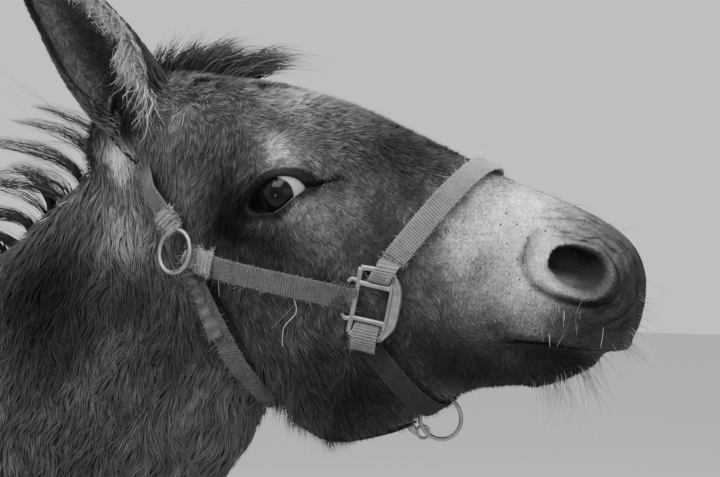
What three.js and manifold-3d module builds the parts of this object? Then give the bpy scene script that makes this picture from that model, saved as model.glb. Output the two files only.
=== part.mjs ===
// A small grey donkey standing in a webbing halter, life size, in millimetres.
// +X is forwards, +Y is the donkey's left and +Z is up. The soles stand on z = 0 and the origin
// is under the middle of the animal's length. Every body surface is the outside of the coat.
import * as THREE from 'three';
import { mergeVertices } from 'three/addons/utils/BufferGeometryUtils.js';
import Module from 'manifold-3d';

const wasm = await Module();
wasm.setup();

// ---------------------------------------------------------------- driving dimensions
const GAP = 0.35;                 // air between neighbouring pieces
const ORIGIN_X = 155.2;           // moves the model so that its length is centred on the origin
const POLL = { x: 610, z: 1330 }; // top of the head, between the ears
const HEAD_PITCH = 26;            // degrees that the nose points down
const NECK_BASE = { x: 250, z: 850 };
const NECK_RISE = 42;             // degrees that the neck climbs
const NECK_CUT = 150;             // where along the neck it is parted from the trunk
const FORE_LEG = { x: 310, y: 98 };
const HIND_LEG = { x: -590, y: 98 };
const HOOF_HEIGHT = 62;
const EAR_LENGTH = 228;
const EYE = { s: 178, y: 80, h: -57, radius: 21 };
const LIDS = { s: 179, y: 96, h: -57, half: [22, 13, 13], turn: 12 };
const NOSTRIL = { s: 416, y: 57, h: -7, half: [23, 17, 17], turn: 10 };
const MOUTH = { s: 385, h: -89, rise: 17, gape: 3, depth: 9, length: 120 };
const WEB_WIDTH = 19;             // halter webbing
const WEB_LIFT = 0.5;             // webbing lies this far over the coat
const WEB_THICKNESS = 3;
const RING_RADIUS = 18.5;         // cheek and chin rings, to the middle of the wire
const WIRE = 4;                   // their wire's diameter

// What is cut off as each leg, measured from the origin: back, front, inner side and top.
const LEG_BOXES = { fore: [190, 420, 42, 600], hind: [-720, -372, 30, 640] };
const FAR = 900;                  // beyond the animal in every direction

// Each table runs along its part. Columns: place, upper edge, lower edge, half-width towards the
// upper edge, half-width towards the lower edge, squareness of the section, sideways shift.
const HEAD = [
  [-58, -74, -142, 48, 44, 2.1, 0],
  [-30, -26, -150, 70, 56, 2.2, 0],
  [0, -5, -156, 82, 62, 2.3, 0],
  [50, 10, -166, 92, 64, 2.3, 0],
  [100, 24, -186, 102, 66, 2.4, 0],
  [150, 30, -210, 107, 68, 2.5, 0],
  [180, 32, -226, 105, 68, 2.6, 0],
  [212, 32, -243, 96, 66, 2.6, 0],
  [250, 32, -254, 84, 62, 2.6, 0],
  [290, 31, -252, 74, 56, 2.6, 0],
  [330, 31, -218, 68, 54, 2.5, 0],
  [370, 33, -154, 64, 54, 2.4, 0],
  [400, 33, -129, 66, 56, 2.3, 0],
  [425, 30, -112, 66, 54, 2.2, 0],
  [445, 22, -95, 61, 48, 2.2, 0],
  [460, 7, -76, 51, 42, 2.1, 0],
  [469, -12, -62, 38, 32, 2.0, 0],
  [475, -31, -48, 16, 14, 2.0, 0],
];
const NECK = [
  [-40, 140, -150, 84, 118, 2.2, 0],
  [60, 150, -204, 78, 118, 2.2, 0],
  [150, 146, -214, 68, 110, 2.2, 0],
  [230, 138, -218, 60, 102, 2.2, 0],
  [320, 130, -218, 54, 94, 2.2, 0],
  [400, 124, -204, 50, 84, 2.2, 0],
  [460, 118, -168, 50, 72, 2.2, 0],
  [520, 106, -124, 50, 60, 2.2, 0],
  [570, 88, -78, 40, 42, 2.1, 0],
  [590, 68, -50, 24, 26, 2.0, 0],
];
const TRUNK = [
  [-652, 880, 775, 48, 48, 2.0, 0],
  [-634, 925, 715, 104, 98, 2.1, 0],
  [-590, 962, 662, 140, 128, 2.2, 0],
  [-520, 1000, 612, 166, 150, 2.3, 0],
  [-430, 1026, 590, 178, 166, 2.4, 0],
  [-340, 1028, 572, 180, 180, 2.4, 0],
  [-240, 1014, 550, 182, 194, 2.4, 0],
  [-120, 1000, 536, 180, 204, 2.4, 0],
  [0, 995, 530, 172, 200, 2.4, 0],
  [100, 1004, 536, 158, 186, 2.4, 0],
  [180, 1028, 548, 140, 172, 2.4, 0],
  [240, 1040, 560, 126, 164, 2.4, 0],
  [300, 1030, 576, 120, 160, 2.3, 0],
  [360, 998, 600, 115, 150, 2.3, 0],
  [405, 952, 630, 104, 132, 2.2, 0],
  [435, 890, 664, 88, 108, 2.1, 0],
  [450, 830, 706, 50, 66, 2.0, 0],
];
// Leg tables climb from the coronet, and their upper and lower edges are the front and the back.
const FORE = [
  [62, 24, -34, 29, 27, 2.1, 0],
  [95, 13, -30, 23, 21, 2.1, 0],
  [130, 17, -37, 27, 25, 2.1, 0],
  [165, 18, -25, 22, 21, 2.1, 0],
  [230, 20, -22, 20, 20, 2.2, 0],
  [295, 22, -26, 25, 24, 2.3, 0],
  [345, 30, -29, 34, 32, 2.4, 1],
  [385, 30, -31, 34, 31, 2.3, 2],
  [430, 32, -40, 34, 32, 2.2, 3],
  [490, 46, -56, 43, 40, 2.2, 5],
  [550, 60, -74, 51, 46, 2.2, 7],
  [620, 72, -92, 55, 50, 2.2, 8],
  [700, 80, -96, 47, 44, 2.2, 8],
  [770, 66, -76, 32, 30, 2.0, 4],
];
const HIND = [
  [62, 34, -22, 28, 27, 2.1, 0],
  [95, 21, -22, 23, 22, 2.1, 0],
  [135, 24, -31, 27, 25, 2.1, 0],
  [175, 20, -22, 22, 21, 2.1, 0],
  [250, 17, -30, 21, 20, 2.2, 0],
  [325, 17, -37, 23, 22, 2.2, 0],
  [375, 23, -51, 31, 28, 2.3, 0],
  [415, 31, -63, 34, 27, 2.3, 0],
  [450, 44, -66, 33, 22, 2.2, 0],
  [490, 68, -48, 34, 24, 2.1, 1],
  [540, 106, -30, 44, 34, 2.1, 2],
  [600, 152, -32, 60, 46, 2.2, 4],
  [660, 188, -40, 72, 56, 2.3, 7],
  [740, 198, -48, 73, 60, 2.3, 6],
  [820, 180, -46, 62, 54, 2.3, 2],
  [890, 140, -30, 40, 38, 2.1, -6],
];

// Muscles, bones and hollows that stand off the plain sections, mirrored to both sides:
// place, sideways, height, lift, and how far it spreads each way.
const HEAD_RELIEF = [
  [172, 92, -26, 9, 30, 40, 16],     // rim over the eye
  [205, 84, -62, -5, 16, 30, 14],    // hollow in front of the eye
  [128, 74, 6, -6, 26, 30, 22],      // hollow over the temple
  [158, 74, -150, 7, 48, 40, 52],    // cheek muscle
  [245, 74, -92, 4, 46, 30, 12],     // cheek bone's ridge
  [338, 60, -78, -7, 34, 30, 36],    // narrow bars behind the lips
  [418, 56, -6, 8, 26, 30, 24],      // flare of the nostril
  [430, 30, -46, 4, 26, 40, 18],     // upper lip
  [428, 0, -112, 4, 20, 34, 20],     // chin
  [290, 0, -232, -17, 66, 15, 40],   // groove between the jaws
];
const TRUNK_RELIEF = [
  [330, 150, 830, 12, 60, 60, 90],   // shoulder blade
  [400, 110, 730, 12, 44, 50, 50],   // point of the shoulder
  [-400, 120, 985, 8, 50, 60, 40],   // hip
  [-470, 150, 740, -10, 50, 60, 60], // flank
  [-120, 200, 640, 8, 160, 60, 80],  // belly
  [440, 0, 780, -8, 50, 14, 80],     // groove of the breast
];

// ---------------------------------------------------------------- shape helpers
const radians = THREE.MathUtils.degToRad;

/** A smooth curve down every column of a table, read at any place along it. */
function reader(rows) {
  const slope = (i, column) => {
    const before = rows[Math.max(i - 1, 0)];
    const after = rows[Math.min(i + 1, rows.length - 1)];
    return (after[column] - before[column]) / (after[0] - before[0]);
  };
  return (place) => {
    let i = 0;
    while (i < rows.length - 2 && place > rows[i + 1][0]) i += 1;
    const span = rows[i + 1][0] - rows[i][0];
    const t = (place - rows[i][0]) / span;
    const [t2, t3] = [t * t, t * t * t];
    return rows[i].map((start, column) => {
      const end = rows[i + 1][column];
      return (2 * t3 - 3 * t2 + 1) * start + (3 * t2 - 2 * t3) * end
        + (t3 - 2 * t2 + t) * span * slope(i, column) + (t3 - t2) * span * slope(i + 1, column);
    });
  };
}

/** Sum of the soft swellings near a point, in the part's own axes. */
function lift(relief, place, side, height) {
  return relief.reduce((sum, [p, y, h, amount, pSpread, ySpread, hSpread]) => {
    const distance = ((place - p) / pSpread) ** 2 + ((Math.abs(side) - y) / ySpread) ** 2
      + ((height - h) / hSpread) ** 2;
    return sum + amount * Math.exp(-distance);
  }, 0);
}

/** A frame of axes: along runs down the part, up crosses it, and side is the donkey's left. */
function axes(x, y, z, degrees) {
  const angle = radians(degrees);
  return {
    origin: new THREE.Vector3(x, y, z),
    along: new THREE.Vector3(Math.cos(angle), 0, Math.sin(angle)),
    up: new THREE.Vector3(-Math.sin(angle), 0, Math.cos(angle)),
    side: new THREE.Vector3(0, 1, 0),
  };
}

/** Turns a place along, to the side of and above a part's axes into a point of the model. */
function at(frame, along, side, up) {
  return frame.origin.clone().addScaledVector(frame.along, along)
    .addScaledVector(frame.side, side).addScaledVector(frame.up, up);
}

/** A closed solid from rings of points, all with the same count, capped at both ends. */
function skinOver(rings) {
  const sides = rings[0].length;
  const points = rings.flat();
  const index = [];
  for (let i = 0; i < rings.length - 1; i += 1) {
    for (let j = 0; j < sides; j += 1) {
      const [a, b] = [i * sides + j, i * sides + (j + 1) % sides];
      index.push(a, b, b + sides, a, b + sides, a + sides);
    }
  }
  for (const [ring, flip] of [[0, true], [rings.length - 1, false]]) {
    const middle = new THREE.Vector3();
    rings[ring].forEach((point) => middle.addScaledVector(point, 1 / sides));
    points.push(middle);
    for (let j = 0; j < sides; j += 1) {
      const [a, b] = [ring * sides + j, ring * sides + (j + 1) % sides];
      index.push(...(flip ? [b, a, points.length - 1] : [a, b, points.length - 1]));
    }
  }
  const geometry = new THREE.BufferGeometry().setFromPoints(points);
  geometry.setIndex(index);
  return solid(geometry);
}

/** Sections from a table, skinned over. grow moves the whole surface outwards. */
function loft({ frame, rows, steps, sides, relief = [], mirror = 1 }, grow = 0) {
  const read = reader(rows);
  const [first, last] = [rows[0][0], rows[rows.length - 1][0]];
  const rings = [];
  for (let i = 0; i <= steps; i += 1) {
    const share = i / steps;
    const [, top, bottom, wide, narrow, square, shift] = read(first + (last - first) * share);
    const place = first - grow + (last - first + 2 * grow) * share;
    const [middle, half] = [(top + bottom) / 2, (top - bottom) / 2];
    const ring = [];
    for (let j = 0; j < sides; j += 1) {
      const angle = (2 * Math.PI * (j + 0.5)) / sides;
      const power = (value) => Math.sign(value) * Math.abs(value) ** (2 / square);
      const [across, over] = [power(Math.cos(angle)), power(Math.sin(angle))];
      let side = (narrow + ((wide - narrow) * (over + 1)) / 2) * across;
      let height = half * over;
      const radius = Math.hypot(side, height);
      const outward = lift(relief, place, side + shift, height + middle) + grow;
      side *= 1 + outward / radius;
      height *= 1 + outward / radius;
      ring.push(at(frame, place, mirror * (side + shift), height + middle));
    }
    rings.push(mirror > 0 ? ring : ring.reverse());
  }
  return skinOver(rings);
}

/** A manifold solid from a closed three.js geometry, turned right side out if need be. */
function solid(geometry) {
  const bare = geometry.clone();
  bare.deleteAttribute('normal');
  bare.deleteAttribute('uv');
  const merged = mergeVertices(bare, 1e-4);
  const triVerts = new Uint32Array(merged.index.array);
  const vertProperties = new Float32Array(merged.attributes.position.array);
  if (volume(vertProperties, triVerts) < 0) {
    for (let i = 0; i < triVerts.length; i += 3) {
      [triVerts[i], triVerts[i + 1]] = [triVerts[i + 1], triVerts[i]];
    }
  }
  return new wasm.Manifold(new wasm.Mesh({ numProp: 3, vertProperties, triVerts }));
}

/** Signed volume: below zero when the faces point inwards. */
function volume(points, triangles) {
  const corner = (i) => new THREE.Vector3().fromArray(points, 3 * triangles[i]);
  let sum = 0;
  for (let i = 0; i < triangles.length; i += 3) {
    sum += corner(i).dot(corner(i + 1).cross(corner(i + 2))) / 6;
  }
  return sum;
}

/** The one body that matters of a cut solid: its largest piece. */
function largest(cut) {
  const pieces = cut.decompose();
  return pieces.reduce((best, piece) => (piece.volume() > best.volume() ? piece : best));
}

const join = (...solids) => solids.reduce((sum, next) => sum.add(next));
const without = (body, ...cutters) => cutters.reduce((rest, next) => rest.subtract(next), body);

/** A box between two corners, given in a frame of axes. */
function box(frame, [a0, s0, u0], [a1, s1, u1]) {
  const geometry = new THREE.BoxGeometry(a1 - a0, s1 - s0, u1 - u0);
  geometry.translate((a0 + a1) / 2, (s0 + s1) / 2, (u0 + u1) / 2);
  const matrix = new THREE.Matrix4().makeBasis(frame.along, frame.side, frame.up);
  geometry.applyMatrix4(matrix.setPosition(frame.origin));
  return solid(geometry);
}

/** A sphere stretched along a frame's axes. */
function egg(frame, [along, side, up], [ra, rs, ru], turn = 0, columns = 12, rows = 8) {
  const geometry = new THREE.SphereGeometry(1, columns, rows);
  geometry.scale(ra, rs, ru);
  geometry.rotateY(radians(turn));
  geometry.translate(along, side, up);
  const matrix = new THREE.Matrix4().makeBasis(frame.along, frame.side, frame.up);
  geometry.applyMatrix4(matrix.setPosition(frame.origin));
  return solid(geometry);
}

// ---------------------------------------------------------------- body
const WORLD = axes(0, 0, 0, 0);
const HEAD_AXES = axes(POLL.x, 0, POLL.z, -HEAD_PITCH);
const NECK_AXES = axes(NECK_BASE.x, 0, NECK_BASE.z, NECK_RISE);
const legAxes = (leg, sign) => ({
  origin: new THREE.Vector3(leg.x, sign * leg.y, 0),
  along: new THREE.Vector3(0, 0, 1),
  up: new THREE.Vector3(1, 0, 0),
  side: new THREE.Vector3(0, 1, 0),
});

const headLoft = { frame: HEAD_AXES, rows: HEAD, steps: 22, sides: 20, relief: HEAD_RELIEF };
const neckLoft = { frame: NECK_AXES, rows: NECK, steps: 8, sides: 18 };
const trunkLoft = { frame: WORLD, rows: TRUNK, steps: 15, sides: 18, relief: TRUNK_RELIEF };
const legLoft = (leg, rows, sign) => ({
  frame: legAxes(leg, sign), rows, steps: 14, sides: 10, mirror: sign,
});
const grownHeadAndNeck = (grow) => loft(headLoft, grow).add(loft(neckLoft, grow));

/** An eyeball. grow makes it the socket that the eyeball sits in. */
const makeEye = (sign, grow = 0) => egg(
  HEAD_AXES, [EYE.s, sign * EYE.y, EYE.h], Array(3).fill(EYE.radius + grow));

/** The plain head with eye sockets, nostrils and mouth let in, and the halter's dents. */
function makeHead(dents) {
  const corner = at(HEAD_AXES, MOUTH.s, 0, MOUTH.h);
  const mouthAxes = axes(corner.x, 0, corner.z, MOUTH.rise - HEAD_PITCH);
  const slit = box(mouthAxes, [0, -FAR, -MOUTH.gape / 2], [MOUTH.length, FAR, MOUTH.gape / 2]);
  const mouth = slit.subtract(loft(headLoft, -MOUTH.depth));
  const cutters = [mouth];
  for (const sign of [-1, 1]) {
    cutters.push(makeEye(sign, GAP));
    for (const { s, y, h, half, turn } of [LIDS, NOSTRIL]) {
      cutters.push(egg(HEAD_AXES, [s, sign * y, h], half, turn));
    }
  }
  return largest(without(loft(headLoft), ...cutters, ...dents));
}

/** Trunk, neck and legs as one flesh, parted again by thin cuts. */
function makeBody(dents) {
  const legs = {};
  for (const [end, leg, rows] of [['fore', FORE_LEG, FORE], ['hind', HIND_LEG, HIND]]) {
    for (const [flank, sign] of [['left', 1], ['right', -1]]) {
      legs[`${end}_leg_${flank}`] = { end, sign, flesh: loft(legLoft(leg, rows, sign)) };
    }
  }
  const flesh = join(loft(trunkLoft), loft(neckLoft), ...Object.values(legs).map((l) => l.flesh));
  const beyondCut = (from) => box(NECK_AXES, [from, -FAR, -FAR], [FAR, FAR, FAR]);
  const nodes = {};
  nodes.neck = largest(without(flesh.intersect(beyondCut(NECK_CUT + GAP)),
    loft(headLoft, GAP), ...dents));
  let rest = flesh.subtract(beyondCut(NECK_CUT));
  for (const [name, { end, sign }] of Object.entries(legs)) {
    const [back, front, inner, top] = LEG_BOXES[end];
    const region = (grow) => {
      const [near, far] = [sign * (inner - grow), sign * FAR];
      return box(WORLD, [back - grow, Math.min(near, far), -GAP],
        [front + grow, Math.max(near, far), top + grow]);
    };
    nodes[name] = largest(flesh.intersect(region(0)));
    rest = rest.subtract(region(GAP));
  }
  nodes.trunk = largest(rest);
  return nodes;
}

/** A hoof: a cone cut flat below, steeper at the heel, wide at the ground. */
function makeHoof(leg, rows, sign) {
  const [, front, back, wide, narrow] = rows[0];
  const top = HOOF_HEIGHT - GAP;
  const table = [
    [0, front + 31, back - 1, 37, 33, 2.3, 0],
    [top / 2, front + 16, back - 1, 33.5, 30, 2.3, 0],
    [top, front + 1, back - 1, wide + 1, narrow + 1, 2.2, 0],
  ];
  return loft({ frame: legAxes(leg, sign), rows: table, steps: 2, sides: 14, mirror: sign });
}

// ---------------------------------------------------------------- ears, mane and tail
const MANE = { from: 120, to: 520, clumps: 7, tall: 62, sunk: 22 };

// An ear is a leaf rolled into a cup. Columns: share of the length, radius of the roll,
// half-angle that the roll closes, thickness of the leaf.
const EAR_SUNK = 26;              // how much of the ear's length is inside the head
const EAR = [
  [0, 30, 168, 8],
  [0.12, 35, 158, 7],
  [0.25, 38, 136, 6],
  [0.42, 38, 112, 5],
  [0.6, 33, 96, 4.5],
  [0.78, 26, 86, 4],
  [0.92, 15, 80, 3.5],
  [1, 4, 76, 3],
];
const EAR_POSE = {
  right: { root: [16, -56, -62], lean: 33, splay: 14, turn: 24 },
  left: { root: [6, 54, -62], lean: 61, splay: 8, turn: -8 },
};

/** One ear. lean tips it backwards, splay outwards, and turn swings its opening forwards. */
function makeEar(flank) {
  const { root, lean, splay, turn } = EAR_POSE[flank];
  const sign = flank === 'left' ? 1 : -1;
  const [tilt, out, swing] = [radians(lean), radians(splay), radians(turn)];
  const axis = new THREE.Vector3(-Math.sin(tilt), sign * Math.sin(out), Math.cos(tilt));
  axis.normalize();
  const opening = new THREE.Vector3(Math.sin(swing), sign * Math.cos(swing), 0);
  opening.addScaledVector(axis, -opening.dot(axis)).normalize();
  const across = new THREE.Vector3().crossVectors(axis, opening);
  const base = at(HEAD_AXES, ...root);
  const read = reader(EAR);
  const [steps, arc] = [9, 8];
  const rings = [];
  for (let i = 0; i <= steps; i += 1) {
    const [share, radius, closing, thick] = read(i / steps);
    const centre = base.clone().addScaledVector(axis, share * EAR_LENGTH - EAR_SUNK);
    const ring = [];
    const place = (r, angle) => ring.push(centre.clone()
      .addScaledVector(opening, -r * Math.cos(angle))
      .addScaledVector(across, r * Math.sin(angle)));
    const half = radians(closing);
    for (let j = 0; j <= arc; j += 1) place(radius, half * ((2 * j) / arc - 1));
    for (let j = arc; j >= 0; j -= 1) place(radius - thick, half * ((2 * j) / arc - 1));
    rings.push(ring);
  }
  return skinOver(rings);
}

/** Hair that stands off the crest in clumps: its edge rises and falls. */
function makeMane() {
  const { from, to, clumps, tall, sunk } = MANE;
  const crest = reader(NECK);
  const rows = [];
  const steps = clumps * 3;
  for (let i = 0; i <= steps; i += 1) {
    const share = i / steps;
    const place = from + (to - from) * share;
    const [, top] = crest(place);
    const clump = 0.72 + 0.28 * Math.cos(2 * Math.PI * (share * clumps - 0.35));
    const ends = Math.sqrt(Math.max(Math.sin(Math.PI * share), 0.02));
    rows.push([place, top + tall * clump * ends, top - sunk, 5, 17, 2, 0]);
  }
  return loft({ frame: NECK_AXES, rows, steps, sides: 6 });
}

/** The tuft over the forehead, standing up and forwards from the poll. */
function makeForelock() {
  const rows = [
    [-22, -2, -30, 14, 20, 2, 0],
    [5, 30, -22, 14, 26, 2, 0],
    [35, 44, -14, 13, 28, 2, 0],
    [65, 46, -4, 11, 26, 2, 0],
    [88, 42, 8, 8, 16, 2, 0],
  ];
  return loft({ frame: HEAD_AXES, rows, steps: 6, sides: 8 });
}

// The tail hangs: columns are drop, rearmost and foremost x, and half-widths.
const TAIL_ROOT = 950;
const TAIL = [
  [-4, -560, -602, 12, 14, 2, 0],
  [18, -576, -644, 24, 24, 2, 0],
  [55, -620, -680, 25, 25, 2, 0],
  [110, -660, -706, 20, 20, 2, 0],
  [240, -668, -702, 16, 16, 2, 0],
  [370, -670, -698, 13, 13, 2, 0],
];
const TUFT = [
  [370.4, -669, -699, 14, 14, 2, 0],
  [440, -662, -708, 22, 22, 2, 0],
  [540, -660, -712, 27, 27, 2, 0],
  [620, -664, -706, 21, 21, 2, 0],
  [680, -680, -692, 6, 6, 2, 0],
];
const tailAxes = {
  origin: new THREE.Vector3(0, 0, TAIL_ROOT),
  along: new THREE.Vector3(0, 0, -1),
  up: new THREE.Vector3(1, 0, 0),
  side: new THREE.Vector3(0, 1, 0),
};

// ---------------------------------------------------------------- halter
// Each strap lies over a straight line in the side view of the head: [along, up] to [along, up].
const CHEEK_RING = { s: 108, y: 84, h: -146, swing: 18 };
const SQUARE = { s: 283, y: 70, h: -107, width: 46, height: 60, thick: 4, roll: -14, swing: 6 };
const CHIN_RING = { s: 362, h: -182 };
const SNAP = { s: 339, h: -204, length: 28, thick: 9, turn: -40 };
const LINES = {
  crown: [[104, -137], [-72, -52]],
  cheek: [[128, -146], [264, -112]],
  nose: [[279, -86], [313, 60]],
  chin: [[295, -141], [363, -175]],
  throat: [[126, -158], [230, -254]],
};
const JAW_STRAP = { from: 244, to: 343, top: -150, bottom: -300 };
// Openings in the square, each from one corner to the other: the middle, a slot for each strap.
const WINDOWS = [[-13, -13, 12, 13], [-11, 17, 9, 25], [-11, -25, 9, -17], [-20, -13, -16.5, 13]];

/** A thick band of the space over a line in the side view, as wide as the webbing. */
function slab([[s0, h0], [s1, h1]], sideFrom, sideTo, grow = 0) {
  const angle = THREE.MathUtils.radToDeg(Math.atan2(h1 - h0, s1 - s0));
  const start = at(HEAD_AXES, s0, 0, h0);
  const line = axes(start.x, 0, start.z, angle - HEAD_PITCH);
  const length = Math.hypot(s1 - s0, h1 - h0);
  const half = WEB_WIDTH / 2 + grow;
  return box(line, [-grow, sideFrom, -half], [length + grow, sideTo, half]);
}

/** Webbing: the part of a slab between two surfaces just over the coat. */
const under = grownHeadAndNeck(WEB_LIFT);
const over = grownHeadAndNeck(WEB_LIFT + WEB_THICKNESS);
const webbing = (...slabs) => join(...slabs).intersect(over).subtract(under);

/** A ring of round wire in a frame, in the plane that its side axis points out of. */
function ring({ s, y = 0, h, swing = 0 }, wire = WIRE) {
  const geometry = new THREE.TorusGeometry(RING_RADIUS, wire / 2, 6, 16);
  geometry.rotateX(radians(90));
  geometry.rotateZ(radians(swing));
  geometry.translate(s, y, h);
  const matrix = new THREE.Matrix4().makeBasis(
    HEAD_AXES.along, HEAD_AXES.side, HEAD_AXES.up);
  return solid(geometry.applyMatrix4(matrix.setPosition(HEAD_AXES.origin)));
}

/** The cast fitting that joins cheek strap, noseband and chin strap: three slots and a window. */
function makeSquare(sign, grow = 0) {
  const { width, height, thick, roll, swing } = SQUARE;
  const [w, h] = [width / 2 + grow, height / 2 + grow];
  const outline = new THREE.Shape();
  outline.moveTo(-w, -h * 0.6);
  outline.lineTo(-w * 0.5, -h);
  outline.absellipse(w * 0.35, 0, w * 0.65, h, -Math.PI / 2, Math.PI / 2, false, 0);
  outline.lineTo(-w * 0.5, h);
  outline.lineTo(-w, h * 0.6);
  outline.closePath();
  const geometry = new THREE.ExtrudeGeometry(outline, {
    depth: thick + 2 * grow, bevelEnabled: false, curveSegments: 8,
  });
  geometry.translate(0, 0, -thick / 2 - grow);
  const windows = grow > 0 ? [] : WINDOWS;
  const cutters = windows.map(([x0, y0, x1, y1]) => {
    const window = new THREE.BoxGeometry(x1 - x0, y1 - y0, 3 * thick);
    return window.translate((x0 + x1) / 2, (y0 + y1) / 2, 0);
  });
  const place = (shape) => {
    shape.rotateX(radians(90));
    shape.rotateY(radians(roll));
    shape.rotateZ(radians(sign * -swing));
    shape.translate(SQUARE.s, sign * SQUARE.y, SQUARE.h);
    const matrix = new THREE.Matrix4().makeBasis(
      HEAD_AXES.along, HEAD_AXES.side, HEAD_AXES.up);
    return solid(shape.applyMatrix4(matrix.setPosition(HEAD_AXES.origin)));
  };
  return without(place(geometry), ...cutters.map(place));
}

const cheekRing = (sign, wire) => ring(
  { ...CHEEK_RING, y: sign * CHEEK_RING.y, swing: sign * CHEEK_RING.swing }, wire);

/** The room that the metal pieces take in the coat and the webbing, with air round them. */
function makeMetalRoom() {
  const room = [ring(CHIN_RING, WIRE + 2 * GAP)];
  for (const sign of [-1, 1]) room.push(cheekRing(sign, WIRE + 2 * GAP), makeSquare(sign, GAP));
  return room;
}

/** Every strap and metal piece of the halter. */
function makeHalter(ears, metal) {
  const jawSlab = box(HEAD_AXES, [JAW_STRAP.from, -WEB_WIDTH / 2, JAW_STRAP.bottom],
    [JAW_STRAP.to, WEB_WIDTH / 2, JAW_STRAP.top]);
  const clear = (strap, ...others) => largest(without(strap, ...metal, ...others));
  const nodes = {
    halter_crown: clear(webbing(slab(LINES.crown, -FAR, FAR)), ...ears),
    halter_noseband: clear(webbing(slab(LINES.nose, -FAR, FAR))),
    halter_chin_strap: clear(webbing(slab(LINES.chin, -FAR, FAR))),
    halter_throat_strap: clear(webbing(slab(LINES.throat, -FAR, FAR)),
      slab(LINES.cheek, -FAR, FAR, GAP), slab(LINES.crown, -FAR, FAR, GAP)),
    halter_jaw_strap: clear(webbing(jawSlab)),
    halter_chin_ring: ring(CHIN_RING, WIRE),
    halter_snap: largest(egg(HEAD_AXES, [SNAP.s, 0, SNAP.h],
      [SNAP.length / 2, SNAP.thick / 2, SNAP.thick / 2], SNAP.turn, 8, 6).subtract(
      ring(CHIN_RING, WIRE + 2 * GAP)).subtract(over)),
  };
  for (const [flank, sign] of [['left', 1], ['right', -1]]) {
    const [from, to] = sign > 0 ? [0, FAR] : [-FAR, 0];
    nodes[`halter_cheek_strap_${flank}`] = clear(webbing(slab(LINES.cheek, from, to)));
    nodes[`halter_cheek_ring_${flank}`] = cheekRing(sign, WIRE);
    nodes[`halter_square_${flank}`] = makeSquare(sign);
  }
  return nodes;
}

// ---------------------------------------------------------------- materials and assembly
const material = (colour, roughness, metalness = 0) => new THREE.MeshStandardMaterial({
  color: colour, roughness, metalness,
});
const MATERIALS = {
  coat: material(0x77726b, 0.9),
  hair: material(0x2f2c29, 0.8),
  eye: material(0x16110d, 0.1),
  hoof: material(0x3a3733, 0.6),
  web: material(0x8c8983, 0.9),
  metal: material(0xb4b4b2, 0.35, 1),
};

const donkey = new THREE.Group();

/** Adds one named piece to the model. */
function add(name, piece, look) {
  const { vertProperties, triVerts } = piece.getMesh();
  const geometry = new THREE.BufferGeometry();
  geometry.setAttribute('position', new THREE.BufferAttribute(vertProperties, 3));
  geometry.setIndex(new THREE.BufferAttribute(triVerts, 1));
  const mesh = new THREE.Mesh(geometry, MATERIALS[look]);
  mesh.name = name;
  mesh.position.x = -ORIGIN_X;
  donkey.add(mesh);
}

const metalRoom = makeMetalRoom();
const head = makeHead(metalRoom);
const flesh = makeBody(metalRoom);
const grownFlesh = grownHeadAndNeck(GAP);
const tail = loft({ frame: tailAxes, rows: TAIL, steps: 9, sides: 8 });
const ears = { left: makeEar('left'), right: makeEar('right') };

add('head', head, 'coat');
Object.entries(flesh).forEach(([name, piece]) => add(name, piece, 'coat'));
for (const [flank, sign] of [['left', 1], ['right', -1]]) {
  add(`ear_${flank}`, largest(ears[flank].subtract(grownFlesh)), 'coat');
  add(`eye_${flank}`, makeEye(sign), 'eye');
  add(`fore_hoof_${flank}`, makeHoof(FORE_LEG, FORE, sign), 'hoof');
  add(`hind_hoof_${flank}`, makeHoof(HIND_LEG, HIND, sign), 'hoof');
}
add('mane', largest(without(makeMane(), grownFlesh)), 'hair');
add('forelock', largest(without(makeForelock(), grownFlesh)), 'hair');
add('tail', largest(tail.subtract(loft(trunkLoft, GAP))), 'coat');
add('tail_tuft', loft({ frame: tailAxes, rows: TUFT, steps: 7, sides: 8 }), 'hair');
for (const [name, piece] of Object.entries(makeHalter(Object.values(ears), metalRoom))) {
  const isMetal = name.includes('ring') || name.includes('square');
  add(name, piece, isMetal ? 'metal' : 'web');
}

export default donkey;
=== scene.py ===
"""A small grey donkey in a webbing halter, dressed over its packed CAD frame, life size."""
import functools
import math

import bpy
import numpy as np
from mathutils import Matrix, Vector


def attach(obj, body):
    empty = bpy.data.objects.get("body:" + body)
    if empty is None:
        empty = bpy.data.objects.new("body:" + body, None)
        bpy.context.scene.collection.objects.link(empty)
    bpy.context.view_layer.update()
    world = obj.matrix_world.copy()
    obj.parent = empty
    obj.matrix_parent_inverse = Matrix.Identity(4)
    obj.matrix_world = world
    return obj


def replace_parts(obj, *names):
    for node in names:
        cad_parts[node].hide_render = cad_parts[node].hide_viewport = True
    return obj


bl_info = {
    "name": "Donkey in a Halter",
    "version": (1, 0, 0),
    "blender": (4, 5, 0),
    "location": "3D View > Sidebar > Donkey",
    "description": "Skin, coat, eyes, hooves, halter and studio of the life-size donkey",
    "category": "Add Mesh",
}

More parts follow.
